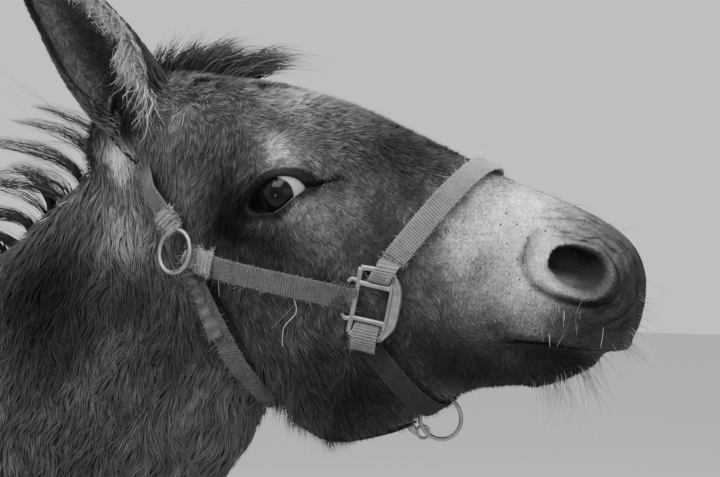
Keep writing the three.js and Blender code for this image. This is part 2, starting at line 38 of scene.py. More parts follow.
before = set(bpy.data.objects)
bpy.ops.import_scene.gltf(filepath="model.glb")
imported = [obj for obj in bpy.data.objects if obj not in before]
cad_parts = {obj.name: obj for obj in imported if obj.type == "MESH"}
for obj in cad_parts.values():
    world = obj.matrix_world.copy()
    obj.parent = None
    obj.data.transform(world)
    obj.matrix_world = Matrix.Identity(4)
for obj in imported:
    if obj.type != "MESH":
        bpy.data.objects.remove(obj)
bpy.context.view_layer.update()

# ------------------------------------------------------------ driving sizes, in millimetres
# The shape is worked out in millimetres, as the CAD is, and made metres when a mesh is made.
MM = 0.001
ORIGIN_X = 155.2
POLL = (610, 1330)
HEAD_PITCH = 26
NECK_BASE = (250, 850)
NECK_RISE = 42
FORE_LEG = (310, 98)
HIND_LEG = (-590, 98)
HOOF_HEIGHT = 62
TAIL_ROOT = 950
EAR_LENGTH = 228
EAR_SUNK = 26
WEB_WIDTH = 19
WEB_THICKNESS = 2.4
RING_RADIUS = 18.5
WIRE = 4
SEED = 11

# Place along the part, upper and lower edge, half-widths above and below, squareness, shift.
HEAD = [
    [-58, -74, -142, 48, 44, 2.1, 0],
    [-30, -26, -150, 70, 56, 2.2, 0],
    [0, -5, -156, 82, 62, 2.3, 0],
    [50, 10, -166, 92, 64, 2.3, 0],
    [100, 24, -186, 102, 66, 2.4, 0],
    [150, 30, -210, 107, 68, 2.5, 0],
    [180, 32, -226, 105, 68, 2.6, 0],
    [212, 32, -243, 96, 66, 2.6, 0],
    [250, 32, -254, 84, 62, 2.6, 0],
    [290, 31, -252, 74, 56, 2.6, 0],
    [330, 31, -218, 68, 54, 2.5, 0],
    [370, 33, -154, 64, 54, 2.4, 0],
    [400, 33, -129, 66, 56, 2.3, 0],
    [425, 30, -112, 66, 54, 2.2, 0],
    [445, 22, -95, 61, 48, 2.2, 0],
    [460, 7, -76, 51, 42, 2.1, 0],
    [469, -12, -62, 38, 32, 2.0, 0],
    [475, -31, -48, 16, 14, 2.0, 0],
]
NECK = [
    [-40, 140, -150, 84, 118, 2.2, 0],
    [60, 150, -204, 78, 118, 2.2, 0],
    [150, 146, -214, 68, 110, 2.2, 0],
    [230, 138, -218, 60, 102, 2.2, 0],
    [320, 130, -218, 54, 94, 2.2, 0],
    [400, 124, -204, 50, 84, 2.2, 0],
    [460, 118, -168, 50, 72, 2.2, 0],
    [520, 106, -124, 50, 60, 2.2, 0],
    [570, 88, -78, 40, 42, 2.1, 0],
    [590, 68, -50, 24, 26, 2.0, 0],
]
TRUNK = [
    [-652, 880, 775, 48, 48, 2.0, 0],
    [-634, 925, 715, 104, 98, 2.1, 0],
    [-590, 962, 662, 140, 128, 2.2, 0],
    [-520, 1000, 612, 166, 150, 2.3, 0],
    [-430, 1026, 590, 178, 166, 2.4, 0],
    [-340, 1028, 572, 180, 180, 2.4, 0],
    [-240, 1014, 550, 182, 194, 2.4, 0],
    [-120, 1000, 536, 180, 204, 2.4, 0],
    [0, 995, 530, 172, 200, 2.4, 0],
    [100, 1004, 536, 158, 186, 2.4, 0],
    [180, 1028, 548, 140, 172, 2.4, 0],
    [240, 1040, 560, 126, 164, 2.4, 0],
    [300, 1030, 576, 120, 160, 2.3, 0],
    [360, 998, 600, 115, 150, 2.3, 0],
    [405, 952, 630, 104, 132, 2.2, 0],
    [435, 890, 664, 88, 108, 2.1, 0],
    [450, 830, 706, 50, 66, 2.0, 0],
]
# Legs climb from the coronet, and their upper and lower edges are the front and the back.
FORE = [
    [62, 24, -34, 29, 27, 2.1, 0],
    [95, 13, -30, 23, 21, 2.1, 0],
    [130, 17, -37, 27, 25, 2.1, 0],
    [165, 18, -25, 22, 21, 2.1, 0],
    [230, 20, -22, 20, 20, 2.2, 0],
    [295, 22, -26, 25, 24, 2.3, 0],
    [345, 30, -29, 34, 32, 2.4, 1],
    [385, 30, -31, 34, 31, 2.3, 2],
    [430, 32, -40, 34, 32, 2.2, 3],
    [490, 46, -56, 43, 40, 2.2, 5],
    [550, 60, -74, 51, 46, 2.2, 7],
    [620, 72, -92, 55, 50, 2.2, 8],
    [700, 80, -96, 47, 44, 2.2, 8],
    [770, 66, -76, 32, 30, 2.0, 4],
]
HIND = [
    [62, 34, -22, 28, 27, 2.1, 0],
    [95, 21, -22, 23, 22, 2.1, 0],
    [135, 24, -31, 27, 25, 2.1, 0],
    [175, 20, -22, 22, 21, 2.1, 0],
    [250, 17, -30, 21, 20, 2.2, 0],
    [325, 17, -37, 23, 22, 2.2, 0],
    [375, 23, -51, 31, 28, 2.3, 0],
    [415, 31, -63, 34, 27, 2.3, 0],
    [450, 44, -66, 33, 22, 2.2, 0],
    [490, 68, -48, 34, 24, 2.1, 1],
    [540, 106, -30, 44, 34, 2.1, 2],
    [600, 152, -32, 60, 46, 2.2, 4],
    [660, 188, -40, 72, 56, 2.3, 7],
    [740, 198, -48, 73, 60, 2.3, 6],
    [820, 180, -46, 62, 54, 2.3, 2],
    [890, 140, -30, 40, 38, 2.1, -6],
]
# The tail hangs: the place is the drop below its root.
TAIL = [
    [-4, -560, -602, 12, 14, 2, 0],
    [18, -576, -644, 24, 24, 2, 0],
    [55, -620, -680, 25, 25, 2, 0],
    [110, -660, -706, 20, 20, 2, 0],
    [240, -668, -702, 16, 16, 2, 0],
    [370, -670, -698, 13, 13, 2, 0],
]
# Muscles, bones and hollows: place, sideways, height, lift, and the spread each way.
HEAD_RELIEF = [
    [172, 92, -26, 9, 30, 40, 16],
    [205, 84, -62, -5, 16, 30, 14],
    [128, 74, 6, -6, 26, 30, 22],
    [158, 74, -150, 7, 48, 40, 52],
    [245, 74, -92, 4, 46, 30, 12],
    [338, 60, -78, -7, 34, 30, 36],
    [418, 56, -6, 8, 26, 30, 24],
    [430, 30, -46, 4, 26, 40, 18],
    [428, 0, -112, 4, 20, 34, 20],
    [290, 0, -232, -17, 66, 15, 40],
]
TRUNK_RELIEF = [
    [330, 150, 830, 12, 60, 60, 90],
    [400, 110, 730, 12, 44, 50, 50],
    [-400, 120, 985, 8, 50, 60, 40],
    [-470, 150, 740, -10, 50, 60, 60],
    [-120, 200, 640, 8, 160, 60, 80],
    [440, 0, 780, -8, 50, 14, 80],
]
# Share of the ear's length, radius of the roll, half-angle that it closes, thickness.
EAR = [
    [0, 30, 168, 8],
    [0.12, 35, 158, 7],
    [0.25, 38, 136, 6],
    [0.42, 38, 112, 5],
    [0.6, 33, 96, 4.5],
    [0.78, 26, 86, 4],
    [0.92, 15, 80, 3.5],
    [1, 4, 76, 3],
]
# Root in the head's axes, then degrees: back, outwards, and the opening forwards.
EAR_POSE = {"right": ((16, -56, -62), 33, 14, 24), "left": ((6, 54, -62), 61, 8, -8)}


# ------------------------------------------------------------ settings
def a_colour(name, description, default):
    """A colour that a user may change."""
    return bpy.props.FloatVectorProperty(name=name, description=description, default=default,
                                         subtype="COLOR", size=3, min=0.0, max=1.0)


def a_length(name, description, millimetres):
    """A length that a user may change, kept in metres."""
    return bpy.props.FloatProperty(name=name, description=description, unit="LENGTH",
                                   default=millimetres * MM, min=0.0, precision=4)


class DonkeyCoatSettings(bpy.types.PropertyGroup):
    """Short coat."""
    colour: a_colour("Coat", "Middle colour of the short coat", (0.09, 0.0887, 0.0869))
    length: bpy.props.FloatProperty(
        name="Coat length", description="Length of the short coat beside the natural one",
        default=1.0, min=0.3, max=2.0, subtype="FACTOR")
    ear_outside: a_colour("Ear outside", "Fur on the back of the ears", (0.18, 0.177, 0.173))
    ear_inside: a_colour("Ear inside", "Hair in the cup of the ears", (0.13, 0.128, 0.125))
    ear_curl: a_length("Ear curl", "How far the hair in the ears curls aside", 2.6)


class DonkeyHairSettings(bpy.types.PropertyGroup):
    """Long hair."""
    colour: a_colour("Long hair", "Mane and tail hair at the root", (0.028, 0.0276, 0.027))
    mane: a_length("Mane", "Longest hair of the mane, by the poll", 116)
    forelock: a_length("Forelock", "Longest hair between the ears", 96)
    tail: a_length("Tail", "Longest hair of the tail tuft", 210)
    whisker: a_length("Whisker", "Length of the whiskers on the chin", 38)


class DonkeyHalterSettings(bpy.types.PropertyGroup):
    """Halter."""
    webbing: a_colour("Webbing", "Tint of the webbing", (1.0, 0.985, 0.96))
    thickness: a_length("Webbing thickness", "Thickness of one layer of webbing", WEB_THICKNESS)
    wire: a_length("Wire", "Thickness of the rings' wire", WIRE)
    dull: a_colour("Dull metal", "Metal in its pits", (0.12, 0.12, 0.118))
    scuffed: a_colour("Scuffed metal", "Metal where it is worn", (0.42, 0.42, 0.414))


class DonkeyEyeSettings(bpy.types.PropertyGroup):
    """Eyes."""
    radius: a_length("Eyeball", "Radius of the eyeball", 22)
    iris_dark: a_colour("Dark of the iris", "Iris between its spokes", (0.003, 0.0027, 0.0025))
    iris_pale: a_colour("Pale of the iris", "Spokes of the iris", (0.007, 0.006, 0.0055))
    white_dark: a_colour("Dark of the white", "Stained white of the eye", (0.26, 0.255, 0.25))
    white_pale: a_colour("Pale of the white", "Clean white of the eye", (0.50, 0.49, 0.48))


class DonkeyHoofSettings(bpy.types.PropertyGroup):
    """Hooves."""
    dark: a_colour("Dark horn", "Horn between its growth rings", (0.009, 0.0085, 0.008))
    pale: a_colour("Pale horn", "Horn on its growth rings", (0.085, 0.080, 0.074))


class DonkeyStageSettings(bpy.types.PropertyGroup):
    """Studio."""
    floor: a_colour("Floor", "Colour of the studio floor", (0.62, 0.62, 0.62))
    lens: bpy.props.FloatProperty(name="Lens", description="Focal length of the camera",
                                  default=50.0, min=10.0, unit="CAMERA")
    key: bpy.props.FloatProperty(name="Key light", description="Power of the key light",
                                 default=120.0, min=0.0, unit="POWER")
    sky: bpy.props.FloatProperty(name="Sky", description="Brightness of the studio around",
                                 default=0.85, min=0.0)


SETTINGS = {
    "coat": DonkeyCoatSettings,
    "hair": DonkeyHairSettings,
    "halter": DonkeyHalterSettings,
    "eye": DonkeyEyeSettings,
    "hoof": DonkeyHoofSettings,
    "stage": DonkeyStageSettings,
}


def chosen_settings(group):
    """The scene's own values of one group of settings."""
    return getattr(bpy.context.scene, "donkey_" + group)


# ------------------------------------------------------------ axes and smooth tables
def rounded(angle, wide, tall):
    """An angle's cosine and sine, their sizes raised to powers: a section between an oval and a rounded
    box."""
    x, y = np.cos(angle), np.sin(angle)
    return np.sign(x) * np.abs(x) ** wide, np.sign(y) * np.abs(y) ** tall


def swung(way, other, angle):
    """Directions turned by their own angles towards others that are square to them."""
    return np.cos(angle)[:, None] * way + np.sin(angle)[:, None] * other


def unit(vectors):
    """Vectors scaled to length one."""
    return vectors / np.maximum(np.linalg.norm(vectors, axis=-1, keepdims=True), 1e-9)


class Axes:
    """The axes of a part: place runs along it, side points away from the middle plane."""

    def __init__(self, origin, along, up, flank=1):
        self.origin = np.array(origin, float)
        self.basis = np.array([along, (0, flank, 0), up], float)

    def into(self, points):
        """Points of the model as place, side and height."""
        return (points - self.origin) @ self.basis.T

    def out(self, local):
        """Place, side and height as points of the model."""
        return self.origin + np.asarray(local, float) @ self.basis

    def turn(self, local):
        """A direction in the part's axes as one of the model."""
        return np.asarray(local, float) @ self.basis


def tilted(x, z, degrees, flank=1):
    """Axes that start in the middle plane and climb by an angle."""
    angle = math.radians(degrees)
    along = (math.cos(angle), 0, math.sin(angle))
    up = (-math.sin(angle), 0, math.cos(angle))
    return Axes((x - ORIGIN_X, 0, z), along, up, flank)


HEAD_AXES = tilted(*POLL, -HEAD_PITCH)
NECK_AXES = tilted(*NECK_BASE, NECK_RISE)
TRUNK_AXES = tilted(0, 0, 0)
TAIL_AXES = Axes((-ORIGIN_X, 0, TAIL_ROOT), (0, 0, -1), (1, 0, 0))


def leg_axes(leg, flank):
    """Axes that climb a leg from the floor."""
    return Axes((leg[0] - ORIGIN_X, flank * leg[1], 0), (0, 0, 1), (1, 0, 0), flank)


def read(rows, place):
    """Every column at each place: cubic pieces whose slope at a row is its neighbours' chord."""
    x = rows[:, 0]
    slope = np.zeros_like(rows)
    slope[1:-1] = (rows[2:] - rows[:-2]) / (x[2:] - x[:-2])[:, None]
    slope[[0, -1]] = (rows[[1, -1]] - rows[[0, -2]]) / (x[[1, -1]] - x[[0, -2]])[:, None]
    i = np.clip(np.searchsorted(x, place) - 1, 0, len(x) - 2)
    span = (x[i + 1] - x[i])[:, None]
    t = (place - x[i])[:, None] / span
    a, b = 2 * t**3 - 3 * t**2, t**3 - t**2
    return ((1 + a) * rows[i] - a * rows[i + 1]
            + (b - t**2 + t) * span * slope[i] + b * span * slope[i + 1]).T


def soft_spots(rows, local):
    """Sum of amount times a bell of the distance, left and right alike. A row is place, side, height,
    amount and three spreads."""
    total = np.zeros(len(local))
    for place, side, height, amount, *spread in rows:
        away = np.stack([local[:, 0] - place, np.abs(local[:, 1]) - side, local[:, 2] - height])
        total += amount * np.exp(-(((away.T / spread) ** 2).sum(1)))
    return total


def read_evenly(knots, count):
    """Every column of a table of knots, read at even steps from its first row to its last."""
    rows = np.column_stack([np.arange(len(knots)), knots])
    return read(rows, np.linspace(0, len(knots) - 1, count))[1:]


def smooth_step(low, high, value):
    """0 below low, 1 above high, and a smooth climb between them."""
    t = np.clip((value - low) / (high - low), 0, 1)
    return t * t * (3 - 2 * t)


def smooth_min(a, b, width):
    """The lesser of two, rounded over where they differ by less than width."""
    overlap = np.maximum(width - np.abs(a - b), 0) / width
    return np.minimum(a, b) - overlap**2 * width / 4


# ------------------------------------------------------------ the flesh as one field
class Loft:
    """A part given by a table of sections: how far outside it each point lies."""

    FAR = 160.0
    ROUND = 8.0

    def __init__(self, axes, rows, relief=(), sunk=0):
        self.axes = axes
        self.rows = np.array(rows, float)
        self.relief = relief
        self.first, self.last = self.rows[0, 0] - sunk, self.rows[-1, 0]
        self.reach = np.abs(self.rows[:, 1:5]).max() + 90

    def section(self, place):
        """Middle, half-height, the two half-widths, squareness and shift at each place."""
        _, top, bottom, wide, narrow, square, shift = read(
            self.rows, np.clip(place, self.rows[0, 0], self.last))
        return (top + bottom) / 2, (top - bottom) / 2, wide, narrow, square, shift

    def radial(self, local):
        """Radius about the section's middle less the section |side / width|^n + |height / half|^n = 1, with
        relief added."""
        place = local[:, 0]
        middle, half, wide, narrow, square, shift = self.section(place)
        side = local[:, 1] - shift
        height = local[:, 2] - middle
        over = np.clip(height / half, -1, 1)
        width = narrow + (wide - narrow) * (over + 1) / 2
        shape = (np.abs(side / width) ** square + np.abs(height / half) ** square) ** (1 / square)
        radius = np.hypot(side, height)
        edge = radius / np.maximum(shape, 1e-4)
        if len(self.relief):
            scale = edge / np.maximum(radius, 1e-3)
            on_edge = np.stack([place, side * scale + shift, height * scale + middle], 1)
            edge = edge + soft_spots(self.relief, on_edge)
        return radius - edge

    def distance(self, points):
        """Roughly how far outside the part each point is, below zero inside it."""
        local = self.axes.into(points)
        away = np.maximum(self.first - local[:, 0], local[:, 0] - self.last)
        result = np.full(len(points), self.FAR)
        near = (away < 90) & (np.abs(local[:, 1]) < self.reach)
        radial = self.radial(local[near])
        result[near] = -smooth_min(-radial, -away[near], self.ROUND)
        return result


PARTS = {
    "trunk": Loft(TRUNK_AXES, TRUNK, TRUNK_RELIEF),
    "neck": Loft(NECK_AXES, NECK),
    "head": Loft(HEAD_AXES, HEAD, HEAD_RELIEF),
    "tail": Loft(TAIL_AXES, TAIL),
}
for flank_name, flank_sign in (("left", 1), ("right", -1)):
    PARTS["fore_" + flank_name] = Loft(leg_axes(FORE_LEG, flank_sign), FORE, sunk=22)
    PARTS["hind_" + flank_name] = Loft(leg_axes(HIND_LEG, flank_sign), HIND, sunk=22)
# How widely each part melts into what it grows from.
MELT = {"neck": 40, "head": 24, "tail": 16}
LEG_MELT = 36


class Ear:
    """A leaf rolled into a cup about a slanting axis."""

    def __init__(self, flank):
        root, lean, splay, turn = EAR_POSE[flank]
        self.sign = 1 if flank == "left" else -1
        lean, splay, turn = map(math.radians, (lean, splay, turn))
        self.axis = unit(np.array([-math.sin(lean), self.sign * math.sin(splay), math.cos(lean)]))
        opening = np.array([math.sin(turn), self.sign * math.cos(turn), 0])
        self.opening = unit(opening - (opening @ self.axis) * self.axis)
        self.across = np.cross(self.axis, self.opening)
        self.base = HEAD_AXES.out(root)
        self.rows = np.array(EAR, float)

    def surface(self, share, turn, inset):
        """A point at a share of the length and of the half-angle, inset from the outside: it circles the
        climbing centre at the roll's radius."""
        _, radius, closing, thick = read(self.rows, share)
        centre = self.base + (share * EAR_LENGTH - EAR_SUNK)[:, None] * self.axis
        angle = np.radians(closing) * turn
        reach = (radius - inset * thick)[:, None]
        return (centre - reach * np.cos(angle)[:, None] * self.opening
                + reach * np.sin(angle)[:, None] * self.across)

    def root_distance(self, points):
        """How far each point is outside an egg at the ear's root."""
        away = points - (self.base + 4 * self.axis)
        along = away @ self.axis
        return np.sqrt(np.maximum((away**2).sum(1) - along**2, 0) + (along / 1.3) ** 2) - 31


EARS = {flank: Ear(flank) for flank in EAR_POSE}


def part_distances(points):
    """The distance outside each part, as one row for each part."""
    return np.array([part.distance(points) for part in PARTS.values()])


def flesh(points, distances):
    """How far outside the coat's surface each point is: all parts melted together."""
    total = distances[0]
    for name, distance in list(zip(PARTS, distances))[1:]:
        total = smooth_min(total, distance, MELT.get(name, LEG_MELT))
    for ear in EARS.values():
        total = smooth_min(total, ear.root_distance(points), 26)
    return total


def shares(distances, softness=9.0):
    """How much each part has to say at each point: a soft choice of the nearest part."""
    weight = np.exp(-(distances - distances.min(0)) / softness)
    return dict(zip(PARTS, weight / weight.sum(0)))


# Depth of the coat along each part: place and millimetres.
COAT_DEPTH = {
    "head": [(-40, 13), (20, 10), (90, 8), (150, 5.5), (230, 5), (290, 3.5), (350, 2.2),
             (430, 1.4), (475, 1.2)],
    "neck": [(0, 14), (300, 15), (520, 14)],
    "trunk": [(-650, 9), (-300, 12), (300, 13)],
    "tail": [(0, 8), (370, 5)],
    "leg": [(62, 2), (300, 3.5), (450, 7), (700, 12)],
}
JAW_DEPTH = 7
EYE = np.array((178.0, 80.0, -57.0))


def part_key(name):
    """The table that a part reads: its own, or the legs' one."""
    return name if name in COAT_DEPTH else "leg"


def coat_depth(points, distances):
    """Thickness of the coat: each part's own depth mixed by the shares, deeper under the jaw and thin round
    the eyes."""
    depth = np.zeros(len(points))
    for name, share in shares(distances).items():
        place, millimetres = np.array(COAT_DEPTH[part_key(name)], float).T
        depth += share * np.interp(PARTS[name].axes.into(points)[:, 0], place, millimetres)
    local = HEAD_AXES.into(points)
    beard = smooth_step(-130, -190, local[:, 2]) * smooth_step(0, 60, local[:, 0])
    depth += JAW_DEPTH * beard * (1 - smooth_step(330, 380, local[:, 0]))
    from_eye = np.hypot(local[:, 0] - EYE[0], local[:, 2] - EYE[2])
    beside = smooth_step(40, 60, np.abs(local[:, 1]))
    return depth + (1.6 - depth) * beside * (1 - smooth_step(26, 52, from_eye))


def skin_field(points):
    """How far outside the bare skin each point is."""
    distances = part_distances(points)
    return flesh(points, distances) + coat_depth(points, distances)


# ------------------------------------------------------------ a mesh over the field
def crossing_quads(field, low, high, step):
    """Faces round the field's zero: a corner in each grid cell it crosses, at the mean of the edges'
    crossings, and a quad round each crossed edge."""
    count = np.ceil((np.array(high) - low) / step).astype(int) + 1
    lines = [low[k] + step * np.arange(count[k]) for k in range(3)]
    grid = np.stack(np.meshgrid(*lines, indexing="ij"), -1).reshape(-1, 3)
    value = field(grid)
    stride = (count[1] * count[2], count[2], 1)
    cell = np.arange(len(grid)).reshape(count)
    total = np.zeros((len(grid), 3))
    number = np.zeros(len(grid))
    quads = []
    for k in range(3):
        here = np.take(cell, np.arange(count[k] - 1), axis=k).ravel()
        there = here + stride[k]
        crossed = (value[here] < 0) != (value[there] < 0)
        here, there = here[crossed], there[crossed]
        share = value[here] / (value[here] - value[there])
        point = grid[here] + share[:, None] * (grid[there] - grid[here])
        b, c = stride[(k + 1) % 3], stride[(k + 2) % 3]
        around = np.stack([here - b - c, here - c, here, here - b], 1)
        for column in around.T:
            np.add.at(total, column, point)
            np.add.at(number, column, 1)
        outward = value[here] < 0
        quads.append(np.where(outward[:, None], around, around[:, ::-1]))
    used = np.flatnonzero(number)
    rename = np.zeros(len(grid), int)
    rename[used] = np.arange(len(used))
    return total[used] / number[used, None], rename[np.concatenate(quads)]


def halves(quads, points):
    """Each quad as two triangles, split along its shorter diagonal."""
    a, b, c, d = quads.T
    short = (np.linalg.norm(points[a] - points[c], axis=1) < np.linalg.norm(points[b] - points[d], axis=1))
    first = np.where(short, [a, b, c], [a, b, d])
    second = np.where(short, [a, c, d], [b, c, d])
    return np.concatenate([first.T, second.T])


def edges_of(triangles):
    """Unique edges, and for each triangle the number of the edge after each corner."""
    ends = np.stack([triangles, np.roll(triangles, -1, axis=1)], -1).reshape(-1, 2)
    ends.sort(axis=1)
    key = ends[:, 0] * (ends.max() + 1) + ends[:, 1]
    _, first, inverse = np.unique(key, return_index=True, return_inverse=True)
    return ends[first], inverse.reshape(-1, 3)


def split_long(points, triangles, wanted):
    """Halves every edge longer than wanted, and the longest edge of a triangle that has another halved one,
    so that no corner hangs."""
    ends, edge = edges_of(triangles)
    length = np.linalg.norm(points[ends[:, 0]] - points[ends[:, 1]], axis=1)
    middle = points[ends].mean(1)
    marked = length > 1.45 * wanted(middle)
    longest = length[edge].argmax(1)
    longest_edge = edge[np.arange(len(edge)), longest]
    while True:
        lacking = marked[edge].any(1) & ~marked[longest_edge]
        if not lacking.any():
            break
        marked[longest_edge[lacking]] = True
    new = np.full(len(ends), -1)
    new[marked] = len(points) + np.arange(marked.sum())
    order = (longest[:, None] + np.arange(3)) % 3
    corner = np.take_along_axis(triangles, order, 1)
    halved = new[np.take_along_axis(edge, order, 1)]
    a, b, c = corner.T
    ab, bc, ca = halved.T
    cases = [
        ((ab < 0), [(a, b, c)]),
        ((ab >= 0) & (bc < 0) & (ca < 0), [(a, ab, c), (ab, b, c)]),
        ((ab >= 0) & (bc >= 0) & (ca < 0), [(a, ab, c), (ab, b, bc), (ab, bc, c)]),
        ((ab >= 0) & (bc < 0) & (ca >= 0), [(ab, b, c), (a, ab, ca), (ca, ab, c)]),
        ((ab >= 0) & (bc >= 0) & (ca >= 0), [(a, ab, ca), (ab, b, bc), (ab, bc, c), (ab, c, ca)]),
    ]
    made = [np.stack(piece, 1)[chosen] for chosen, pieces in cases for piece in pieces]
    return np.concatenate([points, middle[marked]]), np.concatenate(made)


def slope_of(field, points, value, step=0.6):
    """How the field changes along each axis, by small steps."""
    ahead = [field(points + step * axis) - value for axis in np.eye(3)]
    return np.stack(ahead, 1) / step


def settle(points, triangles, field, rounds=1):
    """Evens the mesh out: points move towards their neighbours' mean along the surface, and then onto the
    field's zero by value over slope."""
    ends, _ = edges_of(triangles)
    for _ in range(rounds):
        total = np.zeros_like(points)
        for k in range(3):
            total[:, k] = (np.bincount(ends[:, 0], points[ends[:, 1], k], len(points))
                           + np.bincount(ends[:, 1], points[ends[:, 0], k], len(points)))
        number = np.bincount(ends.ravel(), minlength=len(points))
        value = field(points)
        slope = slope_of(field, points, value)
        steep = np.maximum((slope**2).sum(1), 0.2)
        move = 0.5 * (total / number[:, None] - points)
        move -= ((move * slope).sum(1) / steep)[:, None] * slope
        drop = np.clip(value / steep, -12, 12)[:, None] * slope
        points = points + move - drop
    return points


def normals_of(points, triangles):
    """A unit normal at each point: the mean of its triangles' normals by area."""
    a, b, c = points[triangles.T]
    face = np.cross(b - a, c - a)
    total = np.zeros_like(points)
    for column in triangles.T:
        for k in range(3):
            total[:, k] += np.bincount(column, face[:, k], len(points))
    return unit(total)


# ------------------------------------------------------------ eyes, nostrils and mouth
class Feature:
    """A round place on both sides of the head: a runs along its long side, b crosses it, out leaves the
    head, and level is 1 on its outline."""

    def __init__(self, middle, out, along, half, bend=(2, 2), offset=(0, 0), half_plus=None, taper=0.0):
        self.middle = np.array(middle, float)
        self.out = unit(np.array(out, float))
        along = np.array(along, float)
        self.along = unit(along - (along @ self.out) * self.out)
        self.cross = np.cross(self.out, self.along)
        self.basis = np.array([self.along, self.cross, self.out])
        self.half, self.bend, self.offset, self.taper = half, bend, offset, taper
        self.half_plus = half_plus or half[1]

    def into(self, local):
        """Head axes, folded to one side, as rows of a, b and out."""
        away = local * (1, 0, 1) + np.abs(local) * (0, 1, 0) - self.middle
        return (away @ self.basis.T).T

    def level(self, a, b):
        """(|a / half|^p + |b / half|^q) ^ (2 / (p + q)) about the outline's middle, its half-width other
        above and tapering forwards."""
        a, b = a - self.offset[0], b - self.offset[1]
        plus = self.half_plus * (1 - self.taper * smooth_step(-6, 22, a))
        half_b = np.where(b > 0, plus, self.half[1])
        p, q = self.bend
        return (np.abs(a / self.half[0]) ** p + np.abs(b / half_b) ** q) ** (2 / (p + q))


BALL_RADIUS = 22.0
LID_THICK = 2.4
# The eye's axes lie along the opening, from the outer corner up to the inner one, and b is
# above zero at the lower lid.
LIDS = Feature(EYE, (0.10, 0.97, 0.16), (0.69, 0.0, 0.71), (27, 16), (1.75, 1.9), (-4.5, 4), 13, 0.42)
NOSTRIL = Feature((417.5, 57, -7), (0.34, 0.93, 0.10), (0.98, 0.0, 0.17), (23.5, 16), (2.2, 2.3),
                  half_plus=20)
FOLDS = (4.5, 9.5, 15.0, 21.0, 28.0)
TEAR_GROOVE = (22, 46, 4.8)
# The knob before the ear's foot: place, side and height, how proud it is, its spread.
EAR_KNOB = (60, 68, -40, 9, 12)
LIP_LINE = [(378, -92), (388, -88), (410, -78), (429, -71), (445, -67), (458, -62), (472, -58)]


def lip_height(place):
    """Height of the line between the lips."""
    line = np.array(LIP_LINE, float)
    return np.interp(place, *line.T)


def wanted_edge(points):
    """Edge length wanted at each point: long on the body, short on the face, shortest round the eyes,
    nostrils and lips."""
    local = HEAD_AXES.into(points)
    place, _, height = local.T
    on_head = smooth_step(-40, 40, place) * (points[:, 2] > 900)
    wanted = 12.5 - 8.3 * on_head - 1.9 * smooth_step(330, 380, place)
    wanted = np.minimum(wanted, 8 + 0.05 * np.maximum(900 - points[:, 2], 0))
    a, b, out = LIDS.into(local)
    rim = np.abs((LIDS.level(a, b) - 1) * 14)
    finest = (1.0 + 0.12 * np.maximum(np.hypot(a, b) - 34, 0) + 0.07 * np.maximum(rim - 5, 0))
    wanted = np.where(np.abs(out) < 40, np.minimum(wanted, finest), wanted)
    a, b, out = NOSTRIL.into(local)
    finest = 1.25 + 0.09 * np.maximum(np.hypot(a, b) - 30, 0)
    wanted = np.where(np.abs(out) < 40, np.minimum(wanted, finest), wanted)
    finest = 1.3 + 0.12 * np.maximum(np.abs(height - lip_height(place)) - 9, 0)
    return np.where(place > 372, np.minimum(wanted, finest), wanted)


def bell(value, middle, spread):
    """A bell of height one."""
    return np.exp(-(((value - middle) / spread) ** 2))


def eye_features(local):
    """The eye's a, b and out, the distance outside the lids' edge, nearness to the upper lid, and distance
    from the tear groove."""
    a, b, out = LIDS.into(local)
    start, stop, groove_b = TEAR_GROOVE
    from_groove = [np.hypot(a - np.clip(a, start - early, stop), b - groove_b) for early in (0, 8)]
    return a, b, out, (LIDS.level(a, b) - 1) * 13.5, smooth_step(8, -3, b), from_groove


def sculpt_eyes(local):
    """Lids: the skin lies on a ball a lid's thickness over the eyeball, drops behind it inside the opening,
    and is creased above and below."""
    a, b, out, rim, upper, (from_groove, _) = eye_features(local)
    reach = np.hypot(a, b)
    ball = BALL_RADIUS + LID_THICK
    close = np.abs(out - 15) < 30
    drawn = (1 - smooth_step(3, 19, rim)) * close
    move = drawn * (ball * np.cos(np.minimum(reach / ball, 1.15)) - out)
    move -= 10 * (1 - smooth_step(-3.0, 0.2, rim)) * drawn
    move += (0.9 * bell(rim, 1.6, 1.6) - 2.2 * bell(rim, 7.5, 1.7) * upper) * drawn
    move += 1.8 * bell(rim, 12, 3.2) * upper * close
    for k, radius in enumerate((5.5, 9.0, 13.0, 17.5)):
        wavy = radius + 0.7 * np.sin(a / 3.1 + 2 * k)
        crease = (0.8 - 0.1 * k) * bell(rim, wavy, 0.8) * (1 - upper)
        move -= crease * smooth_step(-8, 12, a) * (rim < 24)
    move -= 3.4 * bell(from_groove, 0, 2.0) * close
    move += 1.5 * bell(from_groove, 4.2, 2.0) * (a > TEAR_GROOVE[0] - 2) * close
    return move[:, None] * LIDS.out


def nostril_rim(local):
    """Distance outside the nostril's outline, the turn round it (0 in front, rising downwards), 1 close to
    it, and how far below its middle."""
    a, b, out = NOSTRIL.into(local)
    return (NOSTRIL.level(a, b) - 1) * 19, np.arctan2(b, a), np.abs(out) < 40, b


def nostril_folds(local, rim, turn):
    """0 to 1: wavy lines that run from over the nostril down the front of the nose."""
    lines = 0
    for k, radius in enumerate(FOLDS):
        wavy = radius + 0.9 * np.sin(2.2 * turn + 1.9 * k) + 1.0 * waves(local, 22, 81 + k)
        lines = lines + (0.7 + 0.3 * waves(local, 25, 91 + k)) * bell(rim, wavy, 1.5)
    return np.clip(lines * smooth_step(0.25, 0.6, 0.5 + 0.5 * np.cos(turn + 0.75)), 0, 1)


def nostril_rear(turn):
    """How far a turn is behind and below the nostril, 0 to 1, and the rim's width there."""
    return (smooth_step(0.3, 0.8, 0.5 + 0.5 * np.cos(turn - 2.0)),
            7.0 + 5.5 * smooth_step(1.5, 2.7, np.abs(turn)))


